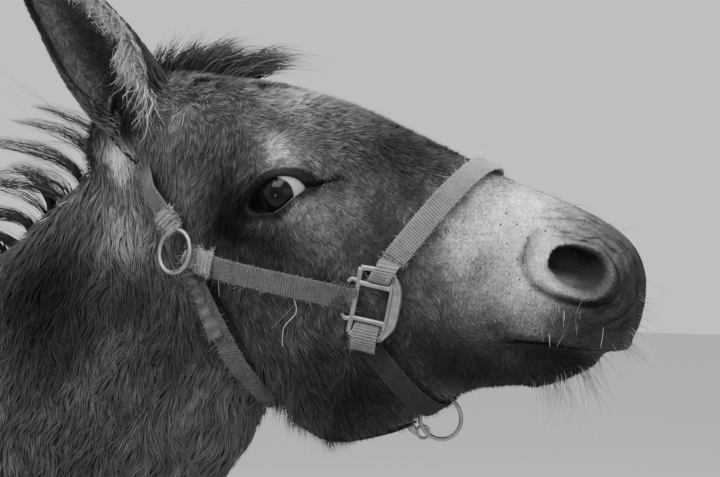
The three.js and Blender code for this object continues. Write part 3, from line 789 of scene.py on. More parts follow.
def sculpt_nostrils(local):
    """Nostrils: a well slanting backwards, a rim rolled out behind and below with a crease beyond it, and
    folds above and in front."""
    rim, turn, close, below = nostril_rim(local)
    behind, edge = nostril_rear(turn)
    depth = 30 * (1 - smooth_step(-9, 1.5, rim)) * (1 - 0.45 * smooth_step(4, 14, below))
    roll = 1.0 * bell(rim, 2.0, 2.5) + 4.4 * behind * bell(rim, 0.4 * edge, 0.32 * edge)
    roll -= 5.0 * bell(rim, edge, 2.5) * behind + 2.4 * nostril_folds(local, rim, turn)
    inwards = unit(np.array(NOSTRIL.out + (0.5, 0.05, 0.0)))
    return (roll * close)[:, None] * NOSTRIL.out - (depth * close)[:, None] * inwards


def sculpt_lips(local, normal):
    """A groove between the lips, an upper lip that stands over a drawn-in lower one, and small upright
    pleats."""
    place = local[:, 0]
    above = local[:, 2] - lip_height(place)
    move = 2.8 * bell(above, 6.5, 5.0) - 8.5 * bell(above, -0.5, 2.3) - 5.5 * bell(above, -8, 6.0)
    move += 0.25 * np.sin(place / 1.6) * bell(above, 0, 9)
    return (move * smooth_step(384, 398, place))[:, None] * normal


def sculpted(points, triangles):
    """The skin with both sides' features pressed into it."""
    normal = normals_of(points, triangles)
    local = HEAD_AXES.into(points)
    here = (local[:, 0] > 10) & (points[:, 2] > 900)
    near, sides = folded(local[here])
    fold = np.stack([np.ones_like(sides), sides, np.ones_like(sides)], 1)
    turned = (normal[here] @ HEAD_AXES.basis.T) * fold
    beside = smooth_step(20, 30, near[:, 1])[:, None]
    move = (sculpt_eyes(near) + sculpt_nostrils(near)) * beside + sculpt_lips(near, turned)
    knob = np.linalg.norm(near - EAR_KNOB[:3], axis=1)
    move += (EAR_KNOB[3] * bell(knob, 0, EAR_KNOB[4]))[:, None] * turned
    result = points.copy()
    result[here] = HEAD_AXES.out((near + move) * fold)
    return result


def make_skin_surface():
    """The bare skin: a coarse net over the field, refined to each place's edge length, then sculpted."""
    low = np.array((-900.0, -230.0, 20.0))
    high = np.array((900.0, 230.0, 1410.0))
    points, quads = crossing_quads(skin_field, low, high, 13.0)
    triangles = halves(quads, points)
    points = settle(points, triangles, skin_field, 2)
    for _ in range(7):
        points, triangles = split_long(points, triangles, wanted_edge)
        points = settle(points, triangles, skin_field)
    return sculpted(points, triangles), triangles


def coat_top(points):
    """How far outside the head's and neck's coat each point is."""
    return np.minimum(PARTS["head"].distance(points), PARTS["neck"].distance(points))


def tucked(points, share):
    """The ear's points with its root drawn down under the head's coat."""
    pull = smooth_step(0.26, 0.07, share)
    for _ in range(3):
        value = coat_top(points)
        slope = unit(slope_of(coat_top, points, value))
        points = points - 0.7 * (pull * np.maximum(value + 7, 0))[:, None] * slope
    return points


def net(rings, corners, closed=False):
    """Quads between rings of corners that close round, and from the last ring to the first
    where closed."""
    ring, corner = np.divmod(np.arange((rings if closed else rings - 1) * corners), corners)
    after, beyond = (corner + 1) % corners, (ring + 1) % rings * corners
    ring = ring * corners
    return np.stack([ring + corner, ring + after, beyond + after, beyond + corner], 1)


def make_ear_surface(ear, lengthways=56, round_it=46):
    """A closed cup, round the outside from edge to edge and back inside, from the root to the tip, its wall
    thin at the edges."""
    share = np.linspace(0, 1, lengthways) ** 0.9
    turn = np.cos(np.linspace(math.pi, 0, round_it))
    turn = 0.4 * turn + 0.6 * np.linspace(-1, 1, round_it)
    t, v = np.meshgrid(share, np.concatenate([turn, turn[::-1]]), indexing="ij")
    inside = np.broadcast_to(np.repeat([0.0, 1.0], round_it), t.shape)
    inset = 0.5 + (inside - 0.5) * np.sqrt(np.clip((1 - np.abs(v)) * 9, 0, 1))
    points = tucked(ear.surface(t.ravel(), v.ravel(), inset.ravel()), t.ravel())
    across = 2 * round_it
    triangles = [halves(net(lengthways, across), points)]
    for first, way in ((0, 1), ((lengthways - 1) * across, -1)):
        ring = first + np.arange(round_it - 1)
        other = first + across - 1 - np.arange(round_it - 1)
        bridge = halves(np.stack([ring, ring + 1, other - 1, other], 1), points)
        triangles.append(bridge[:, ::way])
    triangles = np.concatenate(triangles)
    return points, outwards(points, triangles)


def outwards(points, triangles):
    """The triangles of a closed shell, turned over if their volume is below zero."""
    a, b, c = points[triangles.T]
    return triangles if (a * np.cross(b, c)).sum() > 0 else triangles[:, ::-1]


def joined(*shells):
    """Several shells as one list of points and one of triangles."""
    shift = np.cumsum([0] + [len(points) for points, _ in shells])
    return (np.concatenate([points for points, _ in shells]),
            np.concatenate([triangles + k for (_, triangles), k in zip(shells, shift)]))


# ------------------------------------------------------------ how the coat lies
# Place, side and height in the part's axes, spread, the hair's lie (along, outwards, up),
# its length, its width and the degrees that it lifts.
LIE = {
    "head": [
        (0, 30, -4, 45, (1.0, 0.1, 0.0), 14, 1.3, 24),
        (90, 35, 20, 48, (1.0, 0.22, -0.05), 10.5, 0.9, 20),
        (150, 80, -8, 28, (1.0, 0.0, 0.30), 8.5, 0.85, 17),
        (90, 90, -60, 40, (0.45, 0.0, -0.9), 10.5, 1.0, 17),
        (128, 90, -95, 30, (0.20, 0.0, -1.0), 10.5, 1.0, 16),
        (178, 92, -57, 16, (0.7, 0.0, -0.7), 3.2, 0.75, 9),
        (172, 96, -30, 14, (0.9, 0.0, 0.1), 5.0, 0.8, 11),
        (200, 20, 32, 50, (1.0, 0.1, 0.0), 9.5, 0.95, 32),
        (262, 20, 32, 40, (1.0, 0.1, 0.0), 7.5, 0.9, 26),
        (230, 70, -48, 34, (1.0, 0.0, -0.4), 5.5, 0.8, 12),
        (200, 82, -112, 36, (0.75, 0.0, -0.75), 9.5, 1.0, 14),
        (140, 70, -165, 48, (0.62, 0.0, -0.85), 11, 1.05, 17),
        (235, 60, -195, 46, (0.78, 0.0, -0.62), 11.5, 1.05, 18),
        (226, 30, -246, 44, (0.60, 0.0, -0.80), 34, 1.3, 36),
        (350, 60, -30, 30, (0.9, 0.1, -0.4), 2.6, 0.5, 15),
        (330, 60, -120, 44, (0.88, 0.0, -0.48), 7.0, 0.8, 14),
        (340, 15, -205, 40, (0.8, 0.0, -0.6), 12, 1.1, 26),
        (300, 60, -20, 30, (0.9, 0.1, -0.4), 4.6, 0.8, 12),
        (340, 30, 30, 40, (1.0, 0.25, -0.1), 2.8, 0.55, 15),
        (410, 55, -10, 36, (0.8, 0.2, -0.5), 2.0, 0.5, 14),
        (385, 55, -60, 34, (0.75, 0.1, -0.65), 2.6, 0.5, 16),
        (452, 35, -45, 30, (0.2, 0.2, -1.0), 2.0, 0.5, 20),
        (415, 20, -120, 34, (0.5, 0.1, -0.85), 5.0, 0.8, 26),
    ],
    "neck": [
        (320, 20, 125, 90, (-0.85, 0.4, -0.5), 28, 1.2, 12),
        (520, 40, 60, 90, (-0.7, 0.3, -0.7), 21, 0.9, 9),
        (480, 60, -60, 90, (-0.55, 0.0, -0.85), 24, 0.95, 6),
        (300, 90, -20, 130, (-0.75, 0.0, -0.7), 25, 1.15, 6),
        (380, 40, -190, 90, (-0.9, 0.0, -0.45), 28, 1.2, 8),
        (160, 90, -100, 110, (-0.8, 0.0, -0.6), 28, 3.0, 13),
    ],
    "trunk": [
        (0, 20, 1000, 150, (-1.0, 0.3, -0.1), 22, 3.3, 10),
        (-20, 190, 790, 190, (-0.8, 0.0, -0.6), 24, 3.5, 11),
        (-60, 60, 540, 150, (-1.0, -0.2, -0.1), 30, 3.8, 17),
        (300, 140, 850, 110, (-0.5, 0.0, -0.85), 24, 3.2, 12),
        (440, 40, 770, 80, (-0.2, 0.3, -1.0), 28, 3.4, 17),
        (-470, 150, 740, 110, (-0.5, 0.0, -0.85), 24, 3.4, 12),
        (-560, 110, 930, 110, (-0.8, 0.2, -0.6), 22, 3.3, 11),
        (-640, 50, 800, 90, (0.1, 0.1, -1.0), 24, 3.2, 13),
    ],
    "tail": [(0, 0, -600, 400, (1.0, 0.0, -0.1), 20, 2.2, 16)],
    "leg": [
        (70, 20, 0, 24, (-1.0, 0.1, 0.15), 13, 1.7, 16),
        (118, 0, -36, 18, (-1.0, 0.0, -0.3), 22, 1.9, 26),
        (130, 20, 15, 34, (-1.0, 0.0, 0.0), 8, 1.7, 9),
        (260, 20, 0, 90, (-1.0, 0.0, 0.0), 8, 1.8, 8),
        (430, 30, 0, 90, (-1.0, 0.0, -0.1), 12, 2.3, 10),
        (620, 40, 0, 110, (-1.0, 0.0, -0.25), 20, 3.0, 12),
    ],
}
# Lightness in doublings of the coat's own colour, on the head and neck with painted light and shade besides
# the markings: place, side, height, doublings, spreads.
MARKS_AND_SHADE = {
    "head": [
        # poll, forehead and the bridge of the nose
        (100, 30, 30, 1.25, 90, 70, 30),
        (150, 55, 8, 1.05, 44, 50, 20),
        (242, 35, 12, -1.40, 44, 60, 28),
        (96, 66, -52, -0.70, 22, 40, 20),
        # the pale fur behind the ear's foot, and the pale knob before it
        (2, 70, -102, 3.30, 23, 50, 29),
        (58, 66, -44, 1.10, 13, 40, 13),
        (150, 85, -4, -0.55, 34, 40, 12),
        # pale spectacles round each eye, with a dark hollow behind and below, partly painted shade
        (178, 100, -52, 1.30, 34, 40, 27),
        (163, 92, -29, 2.00, 26, 40, 12),
        (204, 88, -64, 1.10, 24, 40, 15),
        (236, 80, -46, 0.60, 28, 40, 22),
        (138, 95, -84, -4.40, 23, 40, 32),
        (180, 95, -104, -1.90, 36, 40, 18),
        # cheek and jaw, darker under the jaw: painted shade
        (160, 80, -150, -0.55, 70, 60, 60),
        (262, 78, -56, -1.10, 24, 40, 36),
        (255, 60, -190, -0.60, 60, 60, 50),
        (296, 55, -192, -2.30, 46, 60, 40),
        # the mealy muzzle and its dark corner behind the lips, partly painted shade
        (350, 40, 22, 3.00, 46, 70, 50),
        (322, 68, -30, 1.70, 20, 40, 34),
        (400, 50, -40, 2.10, 46, 60, 40),
        (338, 58, -122, -1.80, 34, 50, 24),
        (404, 57, -20, 0.40, 22, 30, 18),
        # dark nose tip, and lips and chin darker, partly painted shade under the head
        (456, 25, -22, -2.25, 22, 60, 44),
        (430, 52, -48, -2.60, 24, 40, 22),
        (436, 40, -82, -3.90, 50, 60, 16),
        (404, 24, -122, -3.70, 60, 60, 28),
    ],
    "neck": [
        # a pale streak from behind the ear down the side, darker on both sides of it
        (494, 60, 66, 2.10, 40, 50, 34),
        (450, 60, 28, 1.60, 40, 60, 34),
        (425, 75, -18, -2.40, 36, 60, 34),
        (352, 60, 48, -4.00, 62, 80, 42),
        (338, 70, -10, -1.60, 54, 80, 38),
        (440, 75, -84, -1.70, 60, 60, 40),
        (350, 75, -110, -0.60, 80, 80, 60),
        (262, 75, -76, -1.20, 70, 80, 70),
        (400, 0, 130, -1.00, 300, 16, 26),
    ],
    "trunk": [
        (0, 0, 1010, -1.3, 900, 20, 60),
        (215, 150, 900, -1.3, 16, 200, 110),
        (-60, 60, 550, 1.3, 330, 120, 60),
        (-640, 40, 790, 0.8, 60, 60, 90),
    ],
    "tail": [(200, 0, -685, -0.8, 200, 12, 30)],
    "leg": [
        (560, 0, 0, 0.7, 130, 200, 200),
        (75, 20, 0, -0.9, 40, 60, 60),
        (130, 20, 10, 0.5, 160, 60, 60),
    ],
}


def waves(points, size, seed, count=9):
    """Smooth noise of about unit height: a sum of sines in seeded directions and lengths."""
    rng = np.random.default_rng(seed)
    turn = unit(rng.normal(size=(count, 3))) * (2 * math.pi / size)
    turn *= rng.uniform(0.6, 1.7, (count, 1))
    return np.sin(points @ turn.T + rng.uniform(0, 2 * math.pi, count)).sum(1) * (1.4 / count**0.5)


def folded(local):
    """Side made positive, and each point's own side as 1 or -1."""
    sign = np.where(local[:, 1] < 0, -1.0, 1.0)
    return np.stack([local[:, 0], np.abs(local[:, 1]), local[:, 2]], 1), sign


def lie_of_coat(points, distances):
    """The hair's lie, length, width and lift in degrees: in each part its rows' mean by bells of distance,
    mixed by the parts' shares."""
    way = np.zeros((len(points), 3))
    make = np.zeros((len(points), 3))
    for name, share in shares(distances).items():
        here = share > 0.002
        part = PARTS[name]
        local, sign = folded(part.axes.into(points[here]))
        rows = LIE[part_key(name) if name != "tail" else "tail"]
        weight = np.array([np.exp(-((local - row[:3]) ** 2).sum(1) / row[3] ** 2) for row in rows]).T + 1e-9
        weight *= (share[here] / weight.sum(1))[:, None]
        flow = weight @ np.array([row[4] for row in rows])
        flow[:, 1] *= sign if name in ("head", "neck", "trunk", "tail") else 1
        way[here] += part.axes.turn(flow)
        make[here] += weight @ np.array([row[5:] for row in rows], float)
    return unit(way), make


def ear_hollow(points):
    """1 at the foot of an ear's cup, where the hollow goes on down into the head."""
    found = np.zeros(len(points))
    for ear in EARS.values():
        away = points - ear.base
        along = away @ ear.axis
        radial = away - along[:, None] * ear.axis
        reach = np.linalg.norm(radial, axis=1)
        here = smooth_step(40, 22, reach) * smooth_step(-18, 6, along)
        here *= smooth_step(16, -8, radial @ ear.across)
        found = np.maximum(found, here * smooth_step(-24, -6, radial @ ear.opening))
    return found


def feature_shade(local):
    """A factor for lightness: dark lid rims, a dark band over the upper lid, partly painted shade under the
    brow, a dark band along the tear groove, painted shade in the nostrils' wells and in the crease and
    folds round them, and a paler rolled rim."""
    _, _, out, rim, upper, (_, from_groove) = eye_features(local)
    near = (np.abs(out - 15) < 30) & (local[:, 1] > 60)
    # The band over the upper lid is partly painted shade under the brow.
    dark = smooth_step(4.6, 1.6, rim) + 0.95 * upper * smooth_step(8.5, 4.0, rim)
    dark += 0.9 * bell(from_groove, 0, 4.5)
    shade = 1 - 0.92 * np.minimum(dark, 1) * near
    rim, turn, close, below = nostril_rim(local)
    well = close & (local[:, 1] > 20)
    behind, edge = nostril_rear(turn)
    # A paler rolled rim, and painted shade in the crease beyond it.
    shade *= 1 + behind * well * (0.25 * bell(rim, 0.4 * edge, 0.3 * edge) - 0.66 * bell(rim, edge, 3.2))
    # Painted shade along the folds.
    shade *= 1 - 0.55 * nostril_folds(local, rim, turn) * well
    # Painted shade in the nostril's well, less on its floor.
    floor = 0.94 - 0.16 * smooth_step(5, 15, below)
    return shade * (1 - floor * (1 - smooth_step(-4.5, 1.5, rim)) * well)


def marks_and_shade_of_coat(points, distances):
    """Lightness beside the coat's own colour: doubled or halved by soft spots, which hold painted light and
    shade as well as markings, and by mottling, and darkened at the face's features, partly by painted
    shade."""
    doublings = 0.20 * waves(points, 34, 5) + 0.16 * waves(points, 13, 6)
    for name, share in shares(distances).items():
        local = PARTS[name].axes.into(points)
        doublings += share * soft_spots(MARKS_AND_SHADE[part_key(name)], local)
    lightness = 2.0**doublings
    local, _ = folded(HEAD_AXES.into(points))
    return lightness * np.where((local[:, 0] > 60) & (points[:, 2] > 900), feature_shade(local), 1)


# Each strap lies over a straight line in the side view of the head.
LINES = {
    "crown": ((104, -137), (-72, -52)),
    "cheek": ((128, -146), (264, -112)),
    "nose": ((279, -86), (313, 60)),
    "chin": ((295, -141), (363, -175)),
    "throat": ((126, -158), (230, -254)),
}


def under_straps(local, margin=1.0):
    """1 where a point of the head or neck lies under a strap, 0 elsewhere."""
    covered = np.zeros(len(local))
    half = WEB_WIDTH / 2 + margin
    for name, ((s0, h0), (s1, h1)) in LINES.items():
        length = math.hypot(s1 - s0, h1 - h0)
        way = np.array((s1 - s0, h1 - h0)) / length
        away = local[:, [0, 2]] - (s0, h0)
        along, across = away @ way, np.abs(away @ (-way[1], way[0]))
        inside = (along > -12) & (along < length * (0.55 if name == "throat" else 1) + 12)
        covered = np.maximum(covered, inside * (1 - smooth_step(half - 2, half + 2, across)))
    return covered


# ------------------------------------------------------------ tufts
def square_to(normal, way):
    """Directions with what runs along a normal taken out of them, as units."""
    return unit(way - (way * normal).sum(1, keepdims=True) * normal)


def patches(place, each):
    """Flat places for the points of hairs: a tiny ring of as many points round each hair's."""
    turn = 2.1 * np.arange(each)
    return (place[:, None] + 0.0015 * np.stack([np.cos(turn), np.sin(turn)], 1)).reshape(-1, 2)


def spikes(paths, across, above, width):
    """Closed tapering spikes along paths (spikes, points, 3): a three-cornered ring at every point but the
    last, which is the tip."""
    count, rings = width.shape
    half = width[..., None] / 2
    left = paths[:, :-1] - half * across[:, None]
    right = paths[:, :-1] + half * across[:, None]
    ridge = paths[:, :-1] + 0.8 * half * above[:, None]
    body = np.stack([left, right, ridge], 2).reshape(count, 3 * rings, 3)
    points = np.concatenate([body, paths[:, -1:]], 1)
    tip = 3 * rings
    faces = [(0, 2, 1)]
    for k in range(rings - 1):
        a, b = 3 * k, 3 * k + 3
        for one, two in ((2, 0), (1, 2), (0, 1)):
            faces += [(a + one, a + two, b + two), (a + one, b + two, b + one)]
    last = tip - 3
    faces += [(last + 2, last, tip), (last + 1, last + 2, tip), (last, last + 1, tip)]
    start = np.arange(count) * (tip + 1)
    triangles = start[:, None, None] + np.array(faces)
    return points.reshape(-1, 3), triangles.reshape(-1, 3)


def soft_normals(normal, across, each, turn=0.5):
    """Normals for the points of spikes: the surface's own, turned a little to either side."""
    aside = np.tile((-turn, turn, 0.0), each // 3 + 1)[:each]
    aside[-1] = 0
    return unit(normal[:, None] + aside[:, None] * across[:, None]).reshape(-1, 3)


def scatter(points, triangles, density, rng):
    """Roots at random over the triangles, density to the square millimetre: their triangles and their
    weights of the corners."""
    a, b, c = points[triangles.T]
    area = np.linalg.norm(np.cross(b - a, c - a), axis=1) / 2
    number = rng.poisson(area * density[triangles].mean(1))
    chosen = np.repeat(np.arange(len(triangles)), number)
    u, v = rng.random((2, len(chosen)))
    over = u + v > 1
    u, v = np.where(over, 1 - u, u), np.where(over, 1 - v, v)
    return triangles[chosen], np.stack([1 - u - v, u, v], 1)


def spread(values, corners, weights):
    """Values at the corners, taken to the roots by their weights."""
    return np.einsum("ij...,ij->i...", values[corners], weights)


def gathered(root, tip, size, pull):
    """Tips drawn together: roots in one cell of a wavy grid share a lock, and tips move part of the way to
    its mean."""
    wavy = root + size * 0.35 * np.stack([waves(root, size * 5, 20 + k) for k in range(3)], 1)
    cell = np.floor(wavy / size).astype(np.int64)
    key = (cell[:, 0] * 4001 + cell[:, 1]) * 4001 + cell[:, 2]
    _, inverse = np.unique(key, return_inverse=True)
    number = np.bincount(inverse)
    mean = np.stack([np.bincount(inverse, tip[:, k]) / number for k in range(3)], 1)
    return tip + pull * (mean[inverse] - tip)


class Coat:
    """The skin's corners with all that the tufts need to know there."""

    def __init__(self, points, triangles):
        distances = part_distances(points)
        self.points, self.triangles = points, triangles
        self.normal = normals_of(points, triangles)
        self.way, self.make = lie_of_coat(points, distances)
        self.part = distances.argmin(0)
        self.head = HEAD_AXES.into(points)
        self.covered = under_straps(self.head) * (self.head[:, 0] > -90)
        # Markings with painted light and shade, and painted shade in the hollow at each ear's foot.
        self.mark = marks_and_shade_of_coat(points, distances) * (1 - 0.9 * ear_hollow(points))

    def bare(self):
        """1 where no hair grows: inside the eyes, nostrils and mouth."""
        local, _ = folded(self.head)
        a, b, out = LIDS.into(local)
        eye = (LIDS.level(a, b) < 1.06) & (np.abs(out - 14) < 24)
        a, b, out = NOSTRIL.into(local)
        nose = (NOSTRIL.level(a, b) < 1.0) & (np.abs(out) < 40)
        lips = (np.abs(local[:, 2] - lip_height(local[:, 0])) < 1.6) & (local[:, 0] > 392)
        return (eye & (local[:, 1] > 60)) | (nose & (local[:, 1] > 20)) | lips


# Layers of tufts in each part, and how much fewer and wider they are on the far flank.
LAYERS = {"head": 2.15, "neck": 2.2, "trunk": 1.5, "tail": 2.4, "leg": 1.35}
FAR_FLANK = 0.5
FACE_FINENESS = 0.66
MUZZLE_LAYERS = 0.62


def unwrap(part, points):
    """A part's surface laid flat, its length across and round it from the top down, a piece for each part
    and flank."""
    local = part.axes.into(points)
    middle = part.section(local[:, 0])[0]
    u = (local[:, 0] - part.first) / (part.last - part.first)
    v = np.arctan2(np.abs(local[:, 1]), local[:, 2] - middle) / math.pi
    return np.clip(np.stack([u, v], 1), 0.002, 0.998)


def make_tufts(coat, rng):
    """Every tuft of the short coat: roots scattered over the skin, tips along the lie, lifted, scattered a
    little and gathered."""
    length, width, lift = coat.make.T
    length = length * chosen_settings("coat").length
    layers = np.array([LAYERS[part_key(name)] for name in PARTS])[coat.part]
    head = coat.part == list(PARTS).index("head")
    muzzle = smooth_step(300, 350, coat.head[:, 0]) * head
    layers = layers + (MUZZLE_LAYERS - layers) * muzzle
    away = coat.points[:, 1] > 0
    face = head & ~away & (muzzle < 0.5)
    width = np.where(away, width / FAR_FLANK**0.5, width) * np.where(face, FACE_FINENESS, 1)
    layers = np.where(away, layers * FAR_FLANK**0.5, layers)
    density = layers / (0.5 * length * width) * (1 - coat.bare()) * (1 - 0.6 * coat.covered)
    corners, weights = scatter(coat.points, coat.triangles, density, rng)
    root, normal, way = (spread(values, corners, weights)
                         for values in (coat.points, coat.normal, coat.way))
    normal = unit(normal)
    length, width, lift, covered, mark = spread(
        np.stack([length, width, lift, coat.covered, coat.mark], 1), corners, weights).T
    way = square_to(normal, way)
    swirl = 0.30 * waves(root, 46, 31) + 0.20 * waves(root, 17, 32)
    swirl += rng.normal(0, 0.16, len(root))
    way = swung(way, np.cross(normal, way), swirl)
    length = length * rng.uniform(0.65, 1.25, len(root))
    width = width * rng.uniform(0.7, 1.25, len(root))
    lift = np.radians(lift * np.exp(rng.normal(0, 0.35, len(root)))) * (1 - 0.8 * covered)
    tip = root + length[:, None] * swung(way, normal, np.clip(lift, 0.03, 1.1))
    tip = gathered(root, tip, 7.0, (0.42 * smooth_step(3, 11, length))[:, None])
    return {"root": root, "normal": normal, "across": np.cross(normal, way), "tip": tip,
            "width": width, "length": length, "mark": mark, "part": coat.part[corners[:, 0]]}


def tuft_piece(name, tufts, chosen, bent=False):
    """A piece of coat. A bent tuft has a second ring that bows off the skin. Tone is dark at the root,
    partly the darker undercoat and partly painted shade deep in the coat, and pale at the tip."""
    root, tip, normal, across, width, length, mark, part = (tufts[key][chosen] for key in (
        "root", "tip", "normal", "across", "width", "length", "mark", "part"))
    sunk = root - 0.5 * normal
    corner = 0.0015 * np.array([(-1, -1), (1, -1), (0, 0), (-1, 0), (1, 0), (0, 1), (0, 1)])
    # fade darkens each tuft towards its root: partly the darker undercoat, partly painted shade deep in the
    # coat.
    if bent:
        paths = np.stack([sunk, (root + tip) / 2 + 0.05 * length[:, None] * normal, tip], 1)
        widths = width[:, None] * (0.85, 0.8)
        fade = (0.75, 0.75, 0.8, 0.95, 0.95, 1.0, 1.12)
    else:
        paths, widths, fade = np.stack([sunk, tip], 1), width[:, None], (0.42, 0.42, 0.6, 1.45)
        corner = corner[[0, 1, 2, 5]]
    points, triangles = spikes(paths, across, normal, widths)
    rng = np.random.default_rng(SEED + len(root))
    mixed = 0.38 + 0.04 * smooth_step(3, 10, length) - 0.26 * smooth_step(14, 22, length)
    own = rng.normal(0, 1, len(root)) * mixed + 0.14 * waves(root, 9, 41)
    stipple = waves(root, 2.6, 43, 12) + 0.6 * waves(root, 1.7, 44, 12)
    own = np.exp(own - 1.0 * smooth_step(5, 3.4, length) * np.maximum(stipple, -0.25))
    tone = (chosen_settings("coat").colour[0] * mark * own)[:, None] * fade
    place = unwrap(PARTS[list(PARTS)[np.bincount(part).argmax()]], root)
    uv = (place[:, None] + corner).reshape(-1, 2)
    shading = soft_normals(normal, across, len(fade), 0.12 if bent else 0.5)
    new_object(name, points, triangles, "fur", {"tone": tone.ravel()}, uv, shading)


@functools.cache
def body_surface():
    """The skin without its ears, worked out once."""
    return make_skin_surface()


@functools.cache
def ear_surfaces():
    """Each flank's ear, worked out once."""
    return {flank: make_ear_surface(ear) for flank, ear in EARS.items()}


@functools.cache
def grown_coat():
    """What the coat needs to know at the skin's corners, worked out once."""
    return Coat(*body_surface())


def make_skin():
    """One closed skin for the body and one for each ear, joined, for every node of flesh, as light as the
    hair where that is shortest and darker under longer hair, partly its dark undercoat and partly painted
    shade between the tufts; the ears' skin is darker under their hair, with painted shade at their foot."""
    coat, ears = grown_coat(), ear_surfaces()
    points, triangles = joined(body_surface(), *ears.values())
    short = smooth_step(6.5, 3.0, coat.make[:, 0])
    # Darker under longer hair: partly the dark undercoat, partly painted shade between the tufts.
    tone = [coat.mark * (0.50 + 0.45 * short) * chosen_settings("coat").colour[0]]
    for flank, surface in ears.items():
        share, roll, inside = ear_values(EARS[flank], surface[0], normals_of(*surface))
        # Painted shade at the ear's foot and along its tucked back edge, under the head's coat.
        dark = smooth_step(0.16, 0.5, share) * (0.3 + 0.7 * smooth_step(-1.0, -0.6, roll))
        tone.append(ear_tone(share, roll, inside) * 0.45 * dark)
    skin = new_object("skin", points, triangles, "hide", {"tone": np.concatenate(tone)})
    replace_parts(skin, "head", "neck", "trunk", "tail", "ear_left", "ear_right",
                "fore_leg_left", "fore_leg_right", "hind_leg_left", "hind_leg_right")


def make_coat():
    """All pieces of the short coat, each one part and flank."""
    tufts = make_tufts(grown_coat(), np.random.default_rng(SEED))
    names = np.array(list(PARTS))[tufts["part"]]
    place, _, height = HEAD_AXES.into(tufts["root"]).T
    right = tufts["root"][:, 1] < 0
    head = names == "head"
    muzzle = head & (place > 318)
    forehead = head & ~muzzle & (height > -52)
    for name, chosen in (("forehead", forehead), ("cheek", head & ~muzzle & ~forehead),
                         ("muzzle", muzzle), ("neck", names == "neck"),
                         ("trunk", names == "trunk")):
        for flank, side in (("right", right), ("left", ~right)):
            tuft_piece(f"coat_{name}_{flank}", tufts, chosen & side, name == "neck")
    for name in PARTS:
        if name not in ("head", "neck", "trunk"):
            tuft_piece("coat_" + name, tufts, names == name)


# ------------------------------------------------------------ long hair
def strands(root, way, bend, length, width, rng, lock, pull, count=5, curl=0.0):
    """Long hairs: root + length * (t * way + t^2 * bend) with t from 0 to 1, ends gathered in locks. Gives
    the spikes and their t."""
    share = np.linspace(0, 1, count + 1)
    t = share[:, None, None]
    paths = root + length[:, None] * (t * unit(way) + t**2 * bend)
    if curl:
        paths += curl * t * np.sin(9 * t + rng.uniform(0, 2 * math.pi, (len(root), 3)))
    paths = paths + t**1.4 * (gathered(root, paths[-1], lock, pull) - paths[-1])
    paths = paths.transpose(1, 0, 2)
    first = unit(paths[:, 1] - paths[:, 0])
    across = square_to(first, rng.normal(0, 1, root.shape))
    taper = 1 - share[:-1] ** 1.5 * 0.7
    points, triangles = spikes(paths, across, np.cross(first, across), width[:, None] * taper)
    return points, triangles, np.tile(np.append(np.repeat(share[:-1], 3), 1), len(root))


def hair_piece(name, part, root, hair, tone, fade=(0.6, 1.2), node=None):
    """A piece of long hair, paler at its tips, with a patch for each hair on the part's unwrapped
    surface."""
    points, triangles, share = hair
    each = len(points) // len(root)
    shade = np.repeat(tone, each) * (fade[0] + (fade[1] - fade[0]) * share)
    piece = new_object(name, points, triangles, "fur", {"tone": shade},
                       patches(unwrap(part, root), each))
    if node:
        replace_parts(piece, node)


MANE = {"from": 110, "to": 478, "count": 2300, "half_width": 12, "stray": 40, "lock": 25}
FORELOCK = {"from": -38, "to": 70, "count": 1800, "half_width": 13}
TAIL_TUFT = {"from": 300, "to": 600, "count": 1700}


def parting(part, place, half_width, sunk, rng):
    """Each hair's distance beside the middle line and its root, sunk below the part's upper edge."""
    side = (2 * rng.beta(2, 2, len(place)) - 1) * half_width
    middle, half = part.section(place)[:2]
    return side, part.axes.out(np.stack([place, side, middle + half - sunk - 0.02 * side**2], 1))


def make_mane():
    """Hair that stands off the crest and leans back, short low on the neck, in long drooping wisps near the
    poll, with a few single hairs."""
    rng = np.random.default_rng(SEED + 1)
    hair, count, part = chosen_settings("hair"), MANE["count"], PARTS["neck"]
    place = MANE["from"] + (MANE["to"] - MANE["from"]) * rng.random(count) ** 1.25
    lock = MANE["lock"] * np.round(place / MANE["lock"] + rng.normal(0, 0.12, count))
    place += 0.82 * smooth_step(250, 330, place) * (lock - place)
    side, root = parting(part, place, MANE["half_width"], 12, rng)
    near_poll = smooth_step(270, 400, place)
    stray = (np.arange(count) < MANE["stray"]) * near_poll
    ends = np.sqrt(np.clip((place - MANE["from"] + 12) / 60, 0, 1))
    length = hair.mane / MM * (0.47 + 0.53 * near_poll) * ends
    length = length * rng.uniform(0.45, 1.15, count) * (1 + 0.2 * stray)
    fan = 0.26 * waves(root, 46, 51)
    way = np.stack([-0.30 - 0.22 * near_poll + fan, side / 60 + rng.normal(0, 0.08, count), 0.95 + fan], 1)
    bend = np.stack([-0.42 - 0.30 * near_poll, side / 50, -0.40 - 0.06 * near_poll], 1)
    bend += rng.normal(0, 0.04, bend.shape) + stray[:, None] * (-0.1, 0, 0.35)
    bend += 0.13 * np.stack([waves(root, 40, 54 + k) for k in range(3)], 1)
    width = rng.uniform(0.6, 1.1, count) * (1 - 0.35 * near_poll) * (1 - 0.3 * stray)
    pull = (0.55 + 0.38 * near_poll) * (1 - stray)
    locks = strands(root, way, bend, length, width, rng, 30, pull[:, None], curl=1.8)
    tone = hair.colour[0] * (0.86 + 0.36 * near_poll) * np.exp(rng.normal(0, 0.30, count))
    hair_piece("mane_hair", part, root, locks, tone, (0.8, 1.5), "mane")


